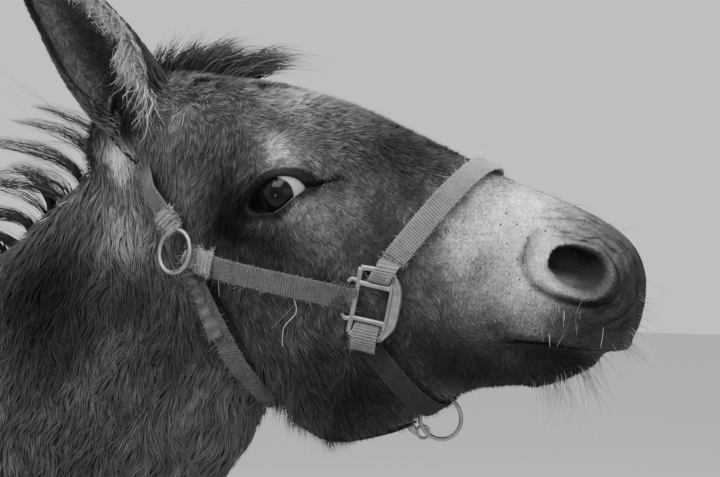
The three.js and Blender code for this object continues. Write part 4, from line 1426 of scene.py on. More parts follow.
def make_forelock():
    """The tuft between the ears: a brush up from the poll, swept over the brow, its front hairs lower and
    longer."""
    rng = np.random.default_rng(SEED + 2)
    hair, count, part = chosen_settings("hair"), FORELOCK["count"], PARTS["head"]
    place = rng.uniform(FORELOCK["from"], FORELOCK["to"], count)
    side, root = parting(part, place, FORELOCK["half_width"], 9, rng)
    share = (place - FORELOCK["from"]) / (FORELOCK["to"] - FORELOCK["from"])
    length = hair.forelock / MM * (0.6 + 0.4 * share) * rng.beta(2.2, 2.6, count) * 1.45
    fan = 0.20 * waves(root, 16, 52)
    way = part.axes.turn(np.stack([-0.16 + 0.36 * share + fan + rng.normal(0, 0.14, count),
                                   side / 70, 0.98 + 0 * share], 1))
    bend = part.axes.turn(np.stack([0.30 + 0.30 * share, side / 90, -0.12 - 0.30 * share], 1))
    bend += rng.normal(0, 0.08, bend.shape)
    width = rng.uniform(0.55, 1.05, count)
    locks = strands(root, way, bend, length, width, rng, 14, 0.60, curl=1.6)
    tone = 2.5 * hair.colour[0] * np.exp(rng.normal(0, 0.45, count))
    hair_piece("forelock_hair", part, root, locks, tone, (0.7, 1.9), "forelock")


TAIL_END = 683
def make_tail_tuft():
    """Long hair hanging from the lower part of the tail to a point."""
    rng = np.random.default_rng(SEED + 3)
    hair, count, part = chosen_settings("hair"), TAIL_TUFT["count"], PARTS["tail"]
    drop = TAIL_TUFT["from"] + (TAIL_TUFT["to"] - TAIL_TUFT["from"]) * rng.random(count) ** 1.6
    turn = rng.uniform(0, 2 * math.pi, count)
    round_it = np.stack([0 * turn, np.cos(turn), np.sin(turn)], 1)
    thick = 12.0 * (1 - smooth_step(380, 600, drop) * 0.4)
    centre = np.stack([drop, 0 * drop, part.section(drop)[0]], 1)
    root = part.axes.out(centre + thick[:, None] * round_it)
    length = np.minimum(rng.uniform(0.43, 1, count) * hair.tail / MM, TAIL_END - drop)
    way = part.axes.turn((1, 0, 0) + 0.15 * round_it) + rng.normal(0, 0.025, (count, 3))
    bend = -0.11 * part.axes.turn(round_it) + rng.normal(0, 0.03, (count, 3))
    width = rng.uniform(1.3, 2.4, count)
    points, triangles, share = strands(root, way, bend, length, width, rng, 16, 0.35)
    points[:, 2] = np.maximum(points[:, 2], TAIL_ROOT - TAIL_END)
    tone = hair.colour[0] * np.exp(rng.normal(0, 0.35, count))
    hair_piece("tail_hair", part, root, (points, triangles, share), tone, node="tail_tuft")


WHISKERS = (
    # place, side, height, spread, number, way (along, outwards, up), share of the length
    (436, 20, -104, 12, 70, (0.6, 0.25, -0.8), 1.00),
    (452, 18, -84, 9, 56, (0.85, 0.3, -0.5), 0.89),
    (468, 24, -52, 12, 34, (0.9, 0.35, -0.25), 0.68),
    (470, 20, -20, 16, 20, (0.95, 0.3, 0.2), 0.58),
    (425, 50, -48, 18, 26, (0.45, 0.6, -0.7), 0.34),
    (345, 20, 30, 40, 14, (0.75, 0.1, 0.5), 0.47),
    (400, 30, 24, 26, 12, (0.75, 0.2, 0.6), 0.37),
)


def make_whiskers():
    """Single stiff hairs on the chin, lips and nose."""
    rng = np.random.default_rng(SEED + 4)
    coat, longest = grown_coat(), chosen_settings("hair").whisker / MM
    local, sign = folded(coat.head)
    grown = []
    for *middle, size, number, way, length in WHISKERS:
        near = np.exp(-((local - middle) ** 2).sum(1) / size**2) * ~coat.bare()
        chosen = rng.choice(len(near), number, p=near / near.sum())
        flow = np.tile(way, (number, 1)).astype(float)
        flow[:, 1] *= sign[chosen]
        grown.append((coat.points[chosen],
                      HEAD_AXES.turn(flow) + rng.normal(0, 0.22, (number, 3)),
                      longest * length * rng.uniform(0.4, 1.25, number)))
    root, way, length = map(np.concatenate, zip(*grown))
    bend = rng.normal(0, 0.07, root.shape) + (-0.05, 0, -0.16)
    width = np.full(len(root), 0.45)
    hair = strands(root, way, bend, length, width, rng, 30, 0.0, count=6)
    tone = 0.42 * np.exp(rng.normal(0, 0.35, len(root)))
    hair_piece("whiskers", PARTS["head"], root, hair, tone, (0.5, 1.1))


def ear_values(ear, points, normal):
    """For the ear's corners: share of the length, share of the roll, and 1 on the inside."""
    away = points - ear.base
    share = (away @ ear.axis + EAR_SUNK) / EAR_LENGTH
    turn = np.arctan2(away @ ear.across, -(away @ ear.opening))
    closing = np.radians(read(ear.rows, share)[2])
    radial = (away - (away @ ear.axis)[:, None] * ear.axis)
    return share, turn / closing, ((normal * radial).sum(1) < 0).astype(float)


def ear_tone(share, roll, inside):
    """Dark grey outside with darker edges; inside grey at the back, black with painted shade in the hollow
    and darker with painted shade at the cup's foot, pale along the front edge."""
    edge = smooth_step(0.80, 0.98, np.abs(roll))
    front = smooth_step(0.93, 0.98, roll)
    coat = chosen_settings("coat")
    outer = coat.ear_outside[0] * 2 ** (-1.1 * edge * (1 - front) + 1.2 * front - 0.7 * share
                         - 1.3 * smooth_step(0.35, 0.7, roll) * (1 - front))
    # Painted shade: the deep hollow of the cup is made black.
    hollow = 0.86 * bell(roll, 0.0, 0.27) * (1 - smooth_step(0.55, 0.95, share))
    inner = coat.ear_inside[0] * 2 ** (2.4 * smooth_step(0.26, 0.5, roll) - 2.7 * hollow
                         - 2.4 * smooth_step(-0.66, -0.9, roll))
    # Painted shade at the foot of the cup.
    inner = inner * (1 - 0.8 * smooth_step(0.36, 0.20, share) * smooth_step(0.5, 0.3, roll))
    return np.where(inside > 0.5, inner, outer)


def make_ear_coat(flank, ear, rng):
    """Short hair outside, soft hair inside, and long curly hair over the front of the cup, hanging over its
    edge at the root."""
    points, triangles = ear_surfaces()[flank]
    curl = chosen_settings("coat").ear_curl / MM
    normal = normals_of(points, triangles)
    share, roll, inside = ear_values(ear, points, normal)
    fringe = smooth_step(0.26, 0.45, roll) * (1 - 0.7 * smooth_step(0.72, 1, share)) * inside
    length = 7.5 - 2 * share + inside * 2.0 + 3.5 * fringe
    width = 1.15 - 0.45 * inside - 0.25 * fringe
    fewer = 0.85 if ear.sign < 0 else 0.4
    density = fewer * (1.15 - 0.1 * inside) / (0.5 * length * width)
    density *= smooth_step(0.02, 0.09, share)
    corners, weights = scatter(points, triangles, density, rng)
    root = spread(points, corners, weights)
    up = unit(spread(normal, corners, weights))
    values = np.stack([length, width, share, roll, inside, fringe], 1)
    length, width, share, roll, inside, fringe = spread(values, corners, weights).T
    hang = fringe * smooth_step(0.92, 0.72, share)
    over = 0.25 * smooth_step(0.5, 0.9, roll) - 0.15
    way = (1 - 1.9 * hang)[:, None] * ear.axis + (over * fringe)[:, None] * ear.across
    way = square_to(up, way + (0.5 * inside * (1 - fringe))[:, None] * ear.opening)
    swirl = (0.3 + 0.7 * inside) * waves(root, 9, 61)
    swirl = swirl + rng.normal(0, 1, len(root)) * (0.25 + 0.45 * fringe)
    way = swung(way, np.cross(up, way), swirl)
    across = np.cross(up, way)
    lift = np.radians(12 + 14 * fringe) * np.exp(rng.normal(0, 0.35, len(root)))
    length = length * rng.uniform(0.55, 1.3, len(root)) * (1 + 0.3 * hang)
    reach = length[:, None] * swung(way, up, lift)
    own = rng.normal(0, 1, len(root)) * (0.3 + 0.35 * fringe) + 0.3 * fringe * waves(root, 6, 62)
    tone = ear_tone(share, roll, inside) * np.exp(own)
    place = np.stack([share, (roll + 1) / 4 + 0.5 * (inside > 0.5)], 1).clip(0.002, 0.998)
    for name, chosen, rings in (("coat_ear", inside < 0.5, 1), ("ear_curls", inside >= 0.5, 3)):
        side, above = across[chosen], up[chosen]
        t = np.linspace(0, 1, rings + 1)[:, None, None]
        phase = rng.uniform(0, 2 * math.pi, (chosen.sum(), 2, 1))
        wave = t * curl * (rings > 1) * (0.5 + fringe[chosen, None])
        paths = root[chosen] + t * reach[chosen] + wave * (
            np.sin(6 * t + phase[:, 0]) * side + np.cos(6 * t + phase[:, 1]) * above)
        tip = gathered(root[chosen], paths[-1], 5.0, 0.4)
        paths = (paths + t**2 * (tip - paths[-1])).transpose(1, 0, 2)
        shell, faces = spikes(paths, side, above, width[chosen, None] * np.linspace(1, 0.6, rings))
        each = 3 * rings + 1
        # Darker towards the root: partly the darker undercoat, partly painted shade deep in the hair.
        fade = np.interp(np.append(np.repeat(t[:-1, 0, 0], 3), 1), (0, 1), (0.5, 1.35))
        new_object(f"{name}_{flank}", shell, faces, "fur",
                   {"tone": (tone[chosen, None] * fade).ravel()}, patches(place[chosen], each),
                   soft_normals(above, side, each))


def make_ear_tassel(flank, ear, rng):
    """Pale curly hair that hangs from the foot of the ear's front edge, over the hollow."""
    count = 1500 if ear.sign < 0 else 400
    share = rng.uniform(0.20, 0.46, count)
    roll = rng.uniform(0.42, 0.90, count)
    root = tucked(ear.surface(share, roll, np.ones(count)), share)
    way = 0.34 * ear.opening + (-0.05, 0, -0.95) + rng.normal(0, 0.15, (count, 3))
    bend = rng.normal(0, 0.12, (count, 3)) - 0.06 * ear.opening
    length = rng.uniform(20, 42, count) + 80 * (0.46 - share)
    width = rng.uniform(0.45, 0.8, count)
    hair = strands(root, way, bend, length, width, rng, 9, 0.2, count=7, curl=3.4)
    tone = 0.40 * np.exp(rng.normal(0, 0.5, count))
    hair_piece(f"ear_tassel_{flank}", PARTS["head"], root, hair, tone)


# Whisker roots: their number on a flank, and the middle and reach of their patch.
WHISKER_ROOTS = {"count": 15, "middle": (366, -22), "reach": (30, 38)}


def make_whisker_roots():
    """Small dark spots on the muzzle: low domes of two rings, scattered over a soft oval patch."""
    rng = np.random.default_rng(SEED + 5)
    spots, (place, height) = WHISKER_ROOTS["count"], WHISKER_ROOTS["middle"]
    long, tall = WHISKER_ROOTS["reach"]
    turn = np.arange(8) * math.pi / 4
    ring = np.stack([np.cos(turn), 0 * turn, np.sin(turn)], 1)
    shells, uv = [], []
    for flank in (-1, 1):
        angle = 2.4 * np.arange(spots) + rng.normal(0, 0.3, spots)
        reach = np.sqrt((np.arange(spots) + 0.5) / spots)
        start = np.stack([place + long * reach * np.cos(angle), 0 * angle,
                          height + tall * reach * np.sin(angle)], 1)
        spot = HEAD_AXES.out(cast(start, (0, flank, 0)))
        size = rng.uniform(0.6, 1.0, spots)
        for centre, wide in zip(spot - (0, 1.4 * flank, 0), size):
            points = np.concatenate([centre + wide * ring,
                                     centre + (0, 0.4 * flank, 0) + 0.6 * wide * ring])
            shells.append((points, rings_to_faces(points, 2, 8)))
        uv.append(np.repeat(unwrap(PARTS["head"], spot), 16, 0))
    patch = 0.0015 * np.concatenate([ring, 0.6 * ring])[:, [0, 2]]
    points, faces = joined(*shells)
    new_object("whisker_roots", points, faces, "fur",
               {"tone": np.full(len(points), 0.05)},
               np.concatenate(uv) + np.tile(patch, (2 * spots, 1)))


# ------------------------------------------------------------ tubes, straps and metal
def tube(path, above, wide, tall, corners=14, power=2.0, side=None, closed=False):
    """A closed solid along a path, with |x / wide|^n + |y / tall|^n = 1 as its section, capped unless the
    path is closed."""
    count = len(path)
    above = np.broadcast_to(above, path.shape)
    side = unit(np.cross(above, unit(np.gradient(path, axis=0)))) if side is None else side
    x, y = rounded(2 * math.pi * np.arange(corners) / corners, 2 / power, 2 / power)
    wide, tall = (np.broadcast_to(half, count)[:, None, None] for half in (wide, tall))
    points = (path[:, None] + x[:, None] * wide * side[:, None]
              + y[:, None] * tall * above[:, None]).reshape(-1, 3)
    return points, rings_to_faces(points, count, corners, closed)


def rings_to_faces(points, count, corners, closed=False):
    """Triangles between rings of corners, closed round, with fans or joined ends."""
    triangles = [halves(net(count, corners, closed), points)]
    if not closed:
        k = np.arange(1, corners - 1)
        last = (count - 1) * corners
        triangles.append(np.stack([np.zeros_like(k), k + 1, k], 1))
        triangles.append(np.stack([last + 0 * k, last + k, last + k + 1], 1))
    return outwards(points, np.concatenate(triangles))


def cast(start, way, reach=190.0, steps=96):
    """Where rays in the head's axes leave the coat: the last crossing of its surface."""
    t = np.linspace(0, reach, steps)
    way = np.broadcast_to(np.asarray(way, float), start.shape)
    points = start[:, None] + t[:, None] * way[:, None]
    value = coat_top(HEAD_AXES.out(points.reshape(-1, 3))).reshape(len(start), steps)
    last = np.clip(steps - 1 - (value[:, ::-1] < 0).argmax(1), 0, steps - 2)
    i = np.arange(len(start))
    share = value[i, last] / (value[i, last] - value[i, last + 1])
    return start + ((t[last] + share * (t[1] - t[0])))[:, None] * way


STRAP_ACROSS = 9


ACROSS_WEB = np.linspace(-WEB_WIDTH / 2, WEB_WIDTH / 2, STRAP_ACROSS)
def strap_sheet(name, flank=None):
    """The coat under a strap, rows across by columns along, in the head's axes: cast from a point inside
    the head where it goes round, else straight sideways."""
    (s0, h0), (s1, h1) = LINES[name]
    length = math.hypot(s1 - s0, h1 - h0)
    along = np.array(((s1 - s0) / length, 0, (h1 - h0) / length))
    cross = np.array((-along[2], 0, along[0]))
    rows = []
    for offset in ACROSS_WEB:
        origin = np.array((s0, 0, h0), float) + offset * cross
        if flank:
            run = np.linspace(-6, length + 6, int(length / 1.6))
            rows.append(cast(origin + run[:, None] * along, (0, flank, 0)))
            continue
        inner = 0.4 * length
        last = math.atan2(cast(origin[None], (0, 1, 0))[0, 1], -inner)
        turn = np.linspace(-last, last, int(2 * length / 1.3))
        way = swung(along, np.array((0, 1, 0)), turn)
        rows.append(cast(np.tile(origin + inner * along, (len(turn), 1)), way))
    return np.array(rows)


def smoothed(values, rounds):
    """Values along the second axis, each moved to the mean of its neighbours again and again."""
    for _ in range(rounds):
        values = values.copy()
        values[:, 1:-1] = (values[:, :-2] + 2 * values[:, 1:-1] + values[:, 2:]) / 4
    return values


STRAP_CORNERS = 22
THROAT_SUNK = 9


def band_shell(sheet, inside, lift, thick, light=None):
    """A flat rounded band over a sheet, lift above it. Gives points, faces, values and the way up at each
    column."""
    middle = sheet[len(sheet) // 2]
    step = np.linalg.norm(np.diff(middle, axis=0), axis=1)
    run = np.concatenate([[0], np.cumsum(step)])
    up = unit(np.cross(unit(np.gradient(middle, axis=0)), unit(sheet[-1] - sheet[0])))
    up *= np.sign((up * (middle - inside)).sum(1).mean())
    x, y = rounded(2 * math.pi * np.arange(STRAP_CORNERS) / STRAP_CORNERS, 0.55, 0.35)
    at = (x + 1) / 2 * (len(sheet) - 1)
    low = np.clip(np.floor(at).astype(int), 0, len(sheet) - 2)
    part = (at - low)[:, None, None]
    height = np.broadcast_to(lift, len(run)) + (thick * (1 + y) / 2)[:, None]
    points = sheet[low] * (1 - part) + sheet[low + 1] * part + height[..., None] * up
    points = points.transpose(1, 0, 2).reshape(-1, 3)
    values = {"run": np.repeat(run, STRAP_CORNERS), "across": np.tile(x, len(run)),
              "top": np.tile(y, len(run))}
    if light is not None:
        values["light"] = np.full(len(points), light)
    faces = rings_to_faces(points, len(run), STRAP_CORNERS)
    return points, faces, values, np.repeat(up, STRAP_CORNERS, 0)


def led_in(sheet, target, cut):
    """A sheet whose last columns run smoothly through a target's, over a bar and down into a slot."""
    kept = sheet[:, :-cut]
    gap = [np.linalg.norm(kept[::turn, -1] - target[:, 0], axis=1).sum() for turn in (1, -1)]
    target = target if gap[0] < gap[1] else target[::-1]
    knots = np.concatenate([kept[:, [-9, -5, -1]], target], 1).transpose(1, 0, 2)
    step = np.linalg.norm(np.diff(knots.mean(1), axis=0), axis=1)
    run = np.concatenate([[0], np.cumsum(step)])
    table = np.column_stack([run, knots.reshape(len(knots), -1)])
    extra = read(table, np.arange(run[2] + 1.5, run[-1], 1.5))[1:]
    return np.concatenate([kept, extra.reshape(len(sheet), 3, -1).transpose(0, 2, 1)], 1)


# The way that the noseband enters each square: up its face, out from it, and forwards.
SLOT_ENTRY = ((32, 4.4, 8.5), (27, 4.6, 5.5), (22.5, 2.2, 3.0), (19.5, -2.4, 1.5))


def slot_target(flank):
    """Columns across the band where it bends over the top bar and into the slot."""
    place, out, forwards = np.array(SLOT_ENTRY, float).T
    return np.array([square_out(flank, np.stack([forwards + across, place, out], 1))
                     for across in np.linspace(-9, 9, STRAP_ACROSS)])


def make_strap(name, flank, thick, trim, stiffness=0.72, lift=1.3):
    """A webbing strap: a stiffened sheet with a rounded band over it that dips under the hair at an ear's
    root."""
    sheet = smoothed(strap_sheet(name, flank), 14)
    share = np.linspace(0, 1, STRAP_ACROSS)[:, None, None]
    flat = sheet[0] + share * (sheet[-1] - sheet[0])
    over = np.maximum((sheet - flat).max(0), 0)
    sheet = HEAD_AXES.out(stiffness * (flat + 0.5 * over) + (1 - stiffness) * sheet)
    sheet = sheet[:, trim:sheet.shape[1] - trim]
    if name == "nose":
        for _ in range(2):
            end = 1 if sheet[0, -1, 1] > 0 else -1
            sheet = led_in(sheet, slot_target(end), 8)[:, ::-1]
    middle = sheet[STRAP_ACROSS // 2]
    from_ear = np.min([ear.root_distance(middle) for ear in EARS.values()], 0)
    lift = lift - 13 * smooth_step(30, 10, from_ear)
    if name == "throat":
        lift = lift - THROAT_SUNK * smooth_step(-212, -236, HEAD_AXES.into(middle)[:, 2])
    return band_shell(sheet, HEAD_AXES.out((200, 0, -100)), lift, thick)


# Name, flank, how light (the chin strap set darker, partly painted shade under the head), how much lighter
# on top (partly worn nap, partly painted light), how frayed, and columns trimmed at each end.
STRAPS = (
    ("crown", None, 0.12, 0.0, 0.6, 3),
    ("nose", None, 0.21, 0.9, 0.9, 0),
    ("chin", None, 0.032, 0.0, 0.2, 0),
    ("throat", None, 0.10, 0.0, 1.5, 4),
    ("cheek", -1, 0.115, 0.0, 0.5, 0),
    ("cheek", 1, 0.115, 0.0, 0.5, 0),
)
STRAP_NODES = {
    ("crown", None): "halter_crown", ("nose", None): "halter_noseband",
    ("chin", None): "halter_chin_strap", ("throat", None): "halter_throat_strap",
    ("cheek", -1): "halter_cheek_strap_right", ("cheek", 1): "halter_cheek_strap_left",
}
JAW_STRAP = (244, 343)


def jaw_sheet():
    """The coat's surface under the jaw strap, which lies along the jaw's underside."""
    place = np.arange(*JAW_STRAP, 1.6)
    rows = [cast(np.stack([place, 0 * place + side, 0 * place - 120], 1), (0, 0, -1))
            for side in ACROSS_WEB]
    return HEAD_AXES.out(smoothed(np.array(rows), 10))


# Folds through the square's slots: across the face, points up it and out from it, how light.
LOW_FOLD = ((-11, 10.5), ((-17.5, -2.5), (-20, 0.6), (-23, 3.4), (-28, 4.4), (-33, 3.6), (-39, 1.6)), 0.15)
SIDE_FOLD = ((-11.5, 11.5), ((-34, 0.2), (-30, 1.0), (-24, 1.0), (-19, -0.6), (-15, -2.6)), 0.06)


def fold_shell(flank, fold, sideways=False):
    """A band of webbing bent round a bar of the square."""
    (low, high), knots, light = fold
    place, out = read_evenly(knots, 40)
    rows = []
    for across in np.linspace(low, high, STRAP_ACROSS):
        same = 0 * place + across
        local = (place, same, out) if sideways else (same, place, out)
        rows.append(square_out(flank, np.stack(local, 1)))
    inside = square_out(flank, [(0, 0, -40)])[0]
    return band_shell(np.array(rows), inside, 0.0, 1.8, light)


def halter_piece(name, shells, material, node):
    """A halter piece from shells of points, faces and values, standing for its CAD node."""
    points, faces = joined(*(shell[:2] for shell in shells))
    values = {key: np.concatenate([
        np.broadcast_to(shell[2].get(key, 0.0), len(shell[0])) for shell in shells])
        for key in sorted({key for shell in shells for key in shell[2]})}
    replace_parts(new_object(name, points, faces, material, values), node)


def ring_shell(centre, radius, swing, half, corners=14, count=72):
    """A round wire bent to a circle that stands up along the head and is swung sideways."""
    angle = np.radians(np.linspace(0, 360, count, endpoint=False))
    swing = math.radians(swing)
    u = np.array((math.cos(swing), math.sin(swing), 0))
    away = radius * swung(u, np.array((0, 0, 1)), angle)
    flat = HEAD_AXES.turn((-math.sin(swing), math.cos(swing), 0))
    path = HEAD_AXES.out(np.array(centre, float) + away)
    return (*tube(path, np.tile(flat, (count, 1)), half, half, corners,
                  side=unit(HEAD_AXES.turn(away)), closed=True), {})


CHEEK_RING = (108, 84, -146)
CHEEK_SWING = 18
CHIN_RING = (362, 0, -182)
SQUARE = {"middle": (283, 70, -107), "roll": -14, "swing": 6, "depth": 4.2}
# Bars of the square: points across and up its face, and the bar's width there.
SQUARE_BARS = (
    (((-14.5, -27), (-14.5, 0), (-14.5, 27)), (4.2, 4.0, 4.2)),
    (((-14.5, 27), (0, 28), (13, 27)), (4.2, 3.8, 5)),
    (((-14.5, -27), (0, -28), (13, -27)), (4.2, 3.8, 5)),
    (((-14.5, 14.8), (0, 14.6), (15, 14.8)), (3.8, 3.6, 4.4)),
    (((-14.5, -14.8), (0, -14.6), (15, -14.8)), (3.8, 3.6, 4.4)),
    (((-14.5, 15.5), (-20, 16.2), (-23, 13.2)), (3.6, 3.4, 3.0)),
    (((-14.5, -15.5), (-20, -16.2), (-23, -13.2)), (3.6, 3.4, 3.0)),
    (((11, 28), (17.5, 15), (18.2, 0), (17.5, -15), (11, -28)), (5, 8.5, 9.8, 8.5, 5)),
    (((13.2, 20), (14.2, 10), (14.2, -10), (13.2, -20)), (2.4, 2.4, 2.4, 2.4)),
    (((13, 28.5), (20.6, 15), (22.0, 0), (20.6, -15), (13, -28.5)), (2.2, 2.6, 2.6, 2.6, 2.2)),
)


CRESCENT = 7
def square_out(flank, local):
    """Points on the square's own face as points of the model."""
    roll, swing = math.radians(SQUARE["roll"]), math.radians(-flank * SQUARE["swing"])
    x, y, depth = np.asarray(local, float).T
    x, y = (x * math.cos(roll) + y * math.sin(roll), -x * math.sin(roll) + y * math.cos(roll))
    along = x * math.cos(swing) - depth * math.sin(swing) * flank
    side = x * math.sin(swing) + depth * math.cos(swing) * flank
    place, middle, height = SQUARE["middle"]
    return HEAD_AXES.out(np.stack([place + along, flank * middle + side, height + y], 1))


def make_square(flank):
    """The cast fitting: rounded bars along smooth paths, the outer ones proud of the bare crescent between
    them."""
    shells = []
    face = square_out(flank, [(0, 0, 1)]) - square_out(flank, [(0, 0, 0)])
    for number, (knots, widths) in enumerate(SQUARE_BARS):
        x, y, wide = read_evenly(np.column_stack([knots, widths]), 26)
        proud = 0.9 if number >= CRESCENT + 1 else 0.0
        thin = 0.7 if number == CRESCENT else 1.0
        path = square_out(flank, np.stack([x, y, 0 * x + proud], 1))
        half = SQUARE["depth"] / 2 * thin
        shells.append((*tube(path, face, wide * 0.58, half, 16, 2.6), {}))
    return shells


def with_fuzz(shell, rng, number, size):
    """A shell of webbing and a second one of worn fibres, fine spikes at random places on its upper
    side."""
    points, faces, values, up = shell
    chosen = rng.choice(np.flatnonzero(values["top"] > -0.2), number)
    root = points[chosen] + rng.normal(0, 0.8, (number, 3))
    way = up[chosen] * 0.5 + rng.normal(0, 0.8, (number, 3))
    length = size * rng.exponential(1, number).clip(0.3, 3)
    fuzz, fuzz_faces, _ = strands(root, way, rng.normal(0, 0.5, (number, 3)), length,
                                  np.full(number, 0.42), rng, 8, 0.2, count=2)
    light = values["light"][chosen] * rng.uniform(1.2, 2.2, number)
    light = np.repeat(light, len(fuzz) // number)
    return [(points, faces, values), (fuzz, fuzz_faces, {"light": light, "top": 1.0})]


def gather_shell(flank, offsets, half, light):
    """Webbing bunched where it is sewn round a ring: a lumpy tube that flattens along a path over the
    coat."""
    count, corners = 22, 18
    place, out, height = CHEEK_RING
    start = np.array([(place + a, 0, height + b) for a, b in offsets], float)
    path = cast(start, (0, flank, 0)) + (0, 4.5 * flank, 0)
    path[0, 1] = flank * (out + 3)
    x, y, z, wide, tall = read_evenly(np.column_stack([path, half]), count)
    line = HEAD_AXES.out(np.stack([x, y, z], 1))
    out = unit(HEAD_AXES.turn((0, flank, 0)))
    points, faces = tube(line, out, wide, tall, corners, 2.6)
    up = unit(points - np.repeat(line, corners, 0))
    values = {"run": np.repeat(np.linspace(0, 16, count), corners),
              "light": np.full(len(points), light), "top": up @ out}
    return points + 1.1 * waves(points, 6, 71)[:, None] * up, faces, values, up


# Bunched webbing: along and up from the ring's middle, half-width and half-thickness.
GATHERS = (
    (((12, 1), (19, 1.5), (27, 3.5), (37, 6)), ((5.5, 4.5), (9, 5), (10, 4), (10, 2.2)), 0.20),
    (((-8, 11), (-15, 14.5), (-23, 18.5), (-33, 23)), ((5.5, 4.5), (9, 5), (10, 4.2), (10, 2.4)),
     0.17),
    (((11, -12), (17, -18), (28, -28), (42, -41), (58, -56)),
     ((4.5, 3.6), (5.6, 4.0), (6.0, 4.0), (6.4, 3.8), (8.4, 2.4)), 0.11),
)
# Loose threads: points in the head's axes (place, height) and how light.
THREADS = (
    (((223, -132), (229, -143), (224, -160), (228, -176)), 0.9, 0.30),
    (((226, -134), (221, -150), (214, -166)), 0.35, 0.16),
    (((152, -140), (156, -152), (160, -164)), 0.4, 0.28),
    (((136, -162), (133, -172), (137, -184)), 0.35, 0.16),
)


def thread_shell(flank, knots, radius, light):
    """A thread that hangs just off the coat."""
    place, height = read_evenly(knots, 30)
    line = cast(np.stack([place, 0 * place, height], 1), (0, flank, 0)) + (0, 2.5 * flank, 0)
    above = HEAD_AXES.turn((0, flank, 0))
    points, faces = tube(HEAD_AXES.out(line), above, radius / 2, radius / 2, 6)
    return points, faces, {"light": light, "top": 1.0}


SNAP = ((350, 0, -205), (344, 0, -203), (338, 0, -199), (331, 0, -194), (325, 0, -189))


def make_snap():
    """The lead snap that hangs in the chin ring: a swivel barrel and a bent hook."""
    size = np.array([2.2, 3.9, 4.3, 3.6, 2.4])
    barrel = tube(HEAD_AXES.out(SNAP), (0, 1, 0), size, size, 16)
    hook = ring_shell((354, 0, -201), 5.4, 0, 1.5, 12, 30)
    halter_piece("snap", [(*barrel, {}), hook], "dull_metal", "halter_snap")


def make_straps():
    """Webbing straps with worn fibres, folds, gathers and loose threads."""
    rng = np.random.default_rng(SEED + 6)
    thick = chosen_settings("halter").thickness / MM
    for name, flank, light, paler, worn, trim in STRAPS:
        points, faces, values, up = make_strap(name, flank, thick, trim)
        # Lighter along the top: partly worn nap, partly painted light.
        light = light * (1 + paler * smooth_step(62, 15, np.abs(points[:, 1])))
        if name == "nose":
            end = np.minimum(values["run"], values["run"].max() - values["run"])
            light = light * (1 - 0.8 * bell(end, 21, 1.0))
        values["light"] = light
        number = int(500 + 1300 * worn)
        shells = with_fuzz((points, faces, values, up), rng, number, 1.8 + 1.3 * worn)
        if name == "chin":
            for sign in (-1, 1):
                shells += with_fuzz(fold_shell(sign, LOW_FOLD), rng, 260, 2.2)
        if name == "cheek":
            shells += with_fuzz(fold_shell(flank, SIDE_FOLD, True), rng, 700, 3.2)
            for offsets, half, shade in GATHERS:
                shells += with_fuzz(gather_shell(flank, offsets, half, shade), rng, 420, 2.6)
            if flank < 0:
                shells += [thread_shell(flank, *thread) for thread in THREADS]
        node = STRAP_NODES[name, flank]
        halter_piece(node.replace("halter_", "strap_"), shells, "ribbed_webbing", node)
    # The jaw strap is set dark like the chin strap: partly painted shade under the head.
    jaw = band_shell(jaw_sheet(), HEAD_AXES.out((290, 0, -100)), 1.0, thick, 0.035)
    halter_piece("strap_jaw", with_fuzz(jaw, rng, 300, 2.0), "ribbed_webbing", "halter_jaw_strap")


def make_rings():
    """The three rings of bent wire, and the snap that hangs in the lowest."""
    half = chosen_settings("halter").wire / MM / 2
    place, out, height = CHEEK_RING
    for name, middle, swing in (
            ("cheek_ring_left", (place, out, height), CHEEK_SWING),
            ("cheek_ring_right", (place, -out, height), -CHEEK_SWING),
            ("chin_ring", CHIN_RING, 0)):
        halter_piece(name, [ring_shell(middle, RING_RADIUS, swing, half)], "dull_metal", "halter_" + name)
    make_snap()


def make_squares():
    """The cast square on each cheek."""
    for flank, side in (("left", 1), ("right", -1)):
        halter_piece(f"square_{flank}", make_square(side), "dull_metal", f"halter_square_{flank}")


# ------------------------------------------------------------ eyes and hooves
GAZE = (0.13, 0.985, -0.10)
IRIS_ANGLE = 38.0
# The pale part of the eyeball shows only towards here, forwards and up across the eye.
WHITE_WAY = (0.05, 1.0)


def make_eye(flank):
    """An eyeball with a clear bulge: a sphere whose radius grows by a bell of the angle from the gaze,
    which is kept for the iris and pupil."""
    sign = 1 if flank == "left" else -1
    rows, columns = 64, 96
    gaze = unit(np.array(GAZE) * (1, sign, 1))
    side = sign * unit(np.cross(gaze, (0.45, 0, 0.9)))
    up = sign * np.cross(side, gaze)
    angle, turn = np.meshgrid(np.linspace(0.0, math.pi, rows), np.arange(columns), indexing="ij")
    angle, turn = angle.ravel(), turn.ravel() * 2 * math.pi / columns
    radius = chosen_settings("eye").radius / MM + 1.6 * np.exp(-((np.degrees(angle) / 27) ** 4))
    wide, tall = np.sin(angle) * np.cos(turn), np.sin(angle) * np.sin(turn)
    way = np.cos(angle)[:, None] * gaze + wide[:, None] * side + tall[:, None] * up
    points = HEAD_AXES.out(EYE * (1, sign, 1) + radius[:, None] * way)
    values = {"angle": np.degrees(angle), "wide": wide, "tall": tall}
    ball = new_object(f"eyeball_{flank}", points, rings_to_faces(points, rows, columns),
                      "eyeball", values)
    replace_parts(ball, f"eye_{flank}")


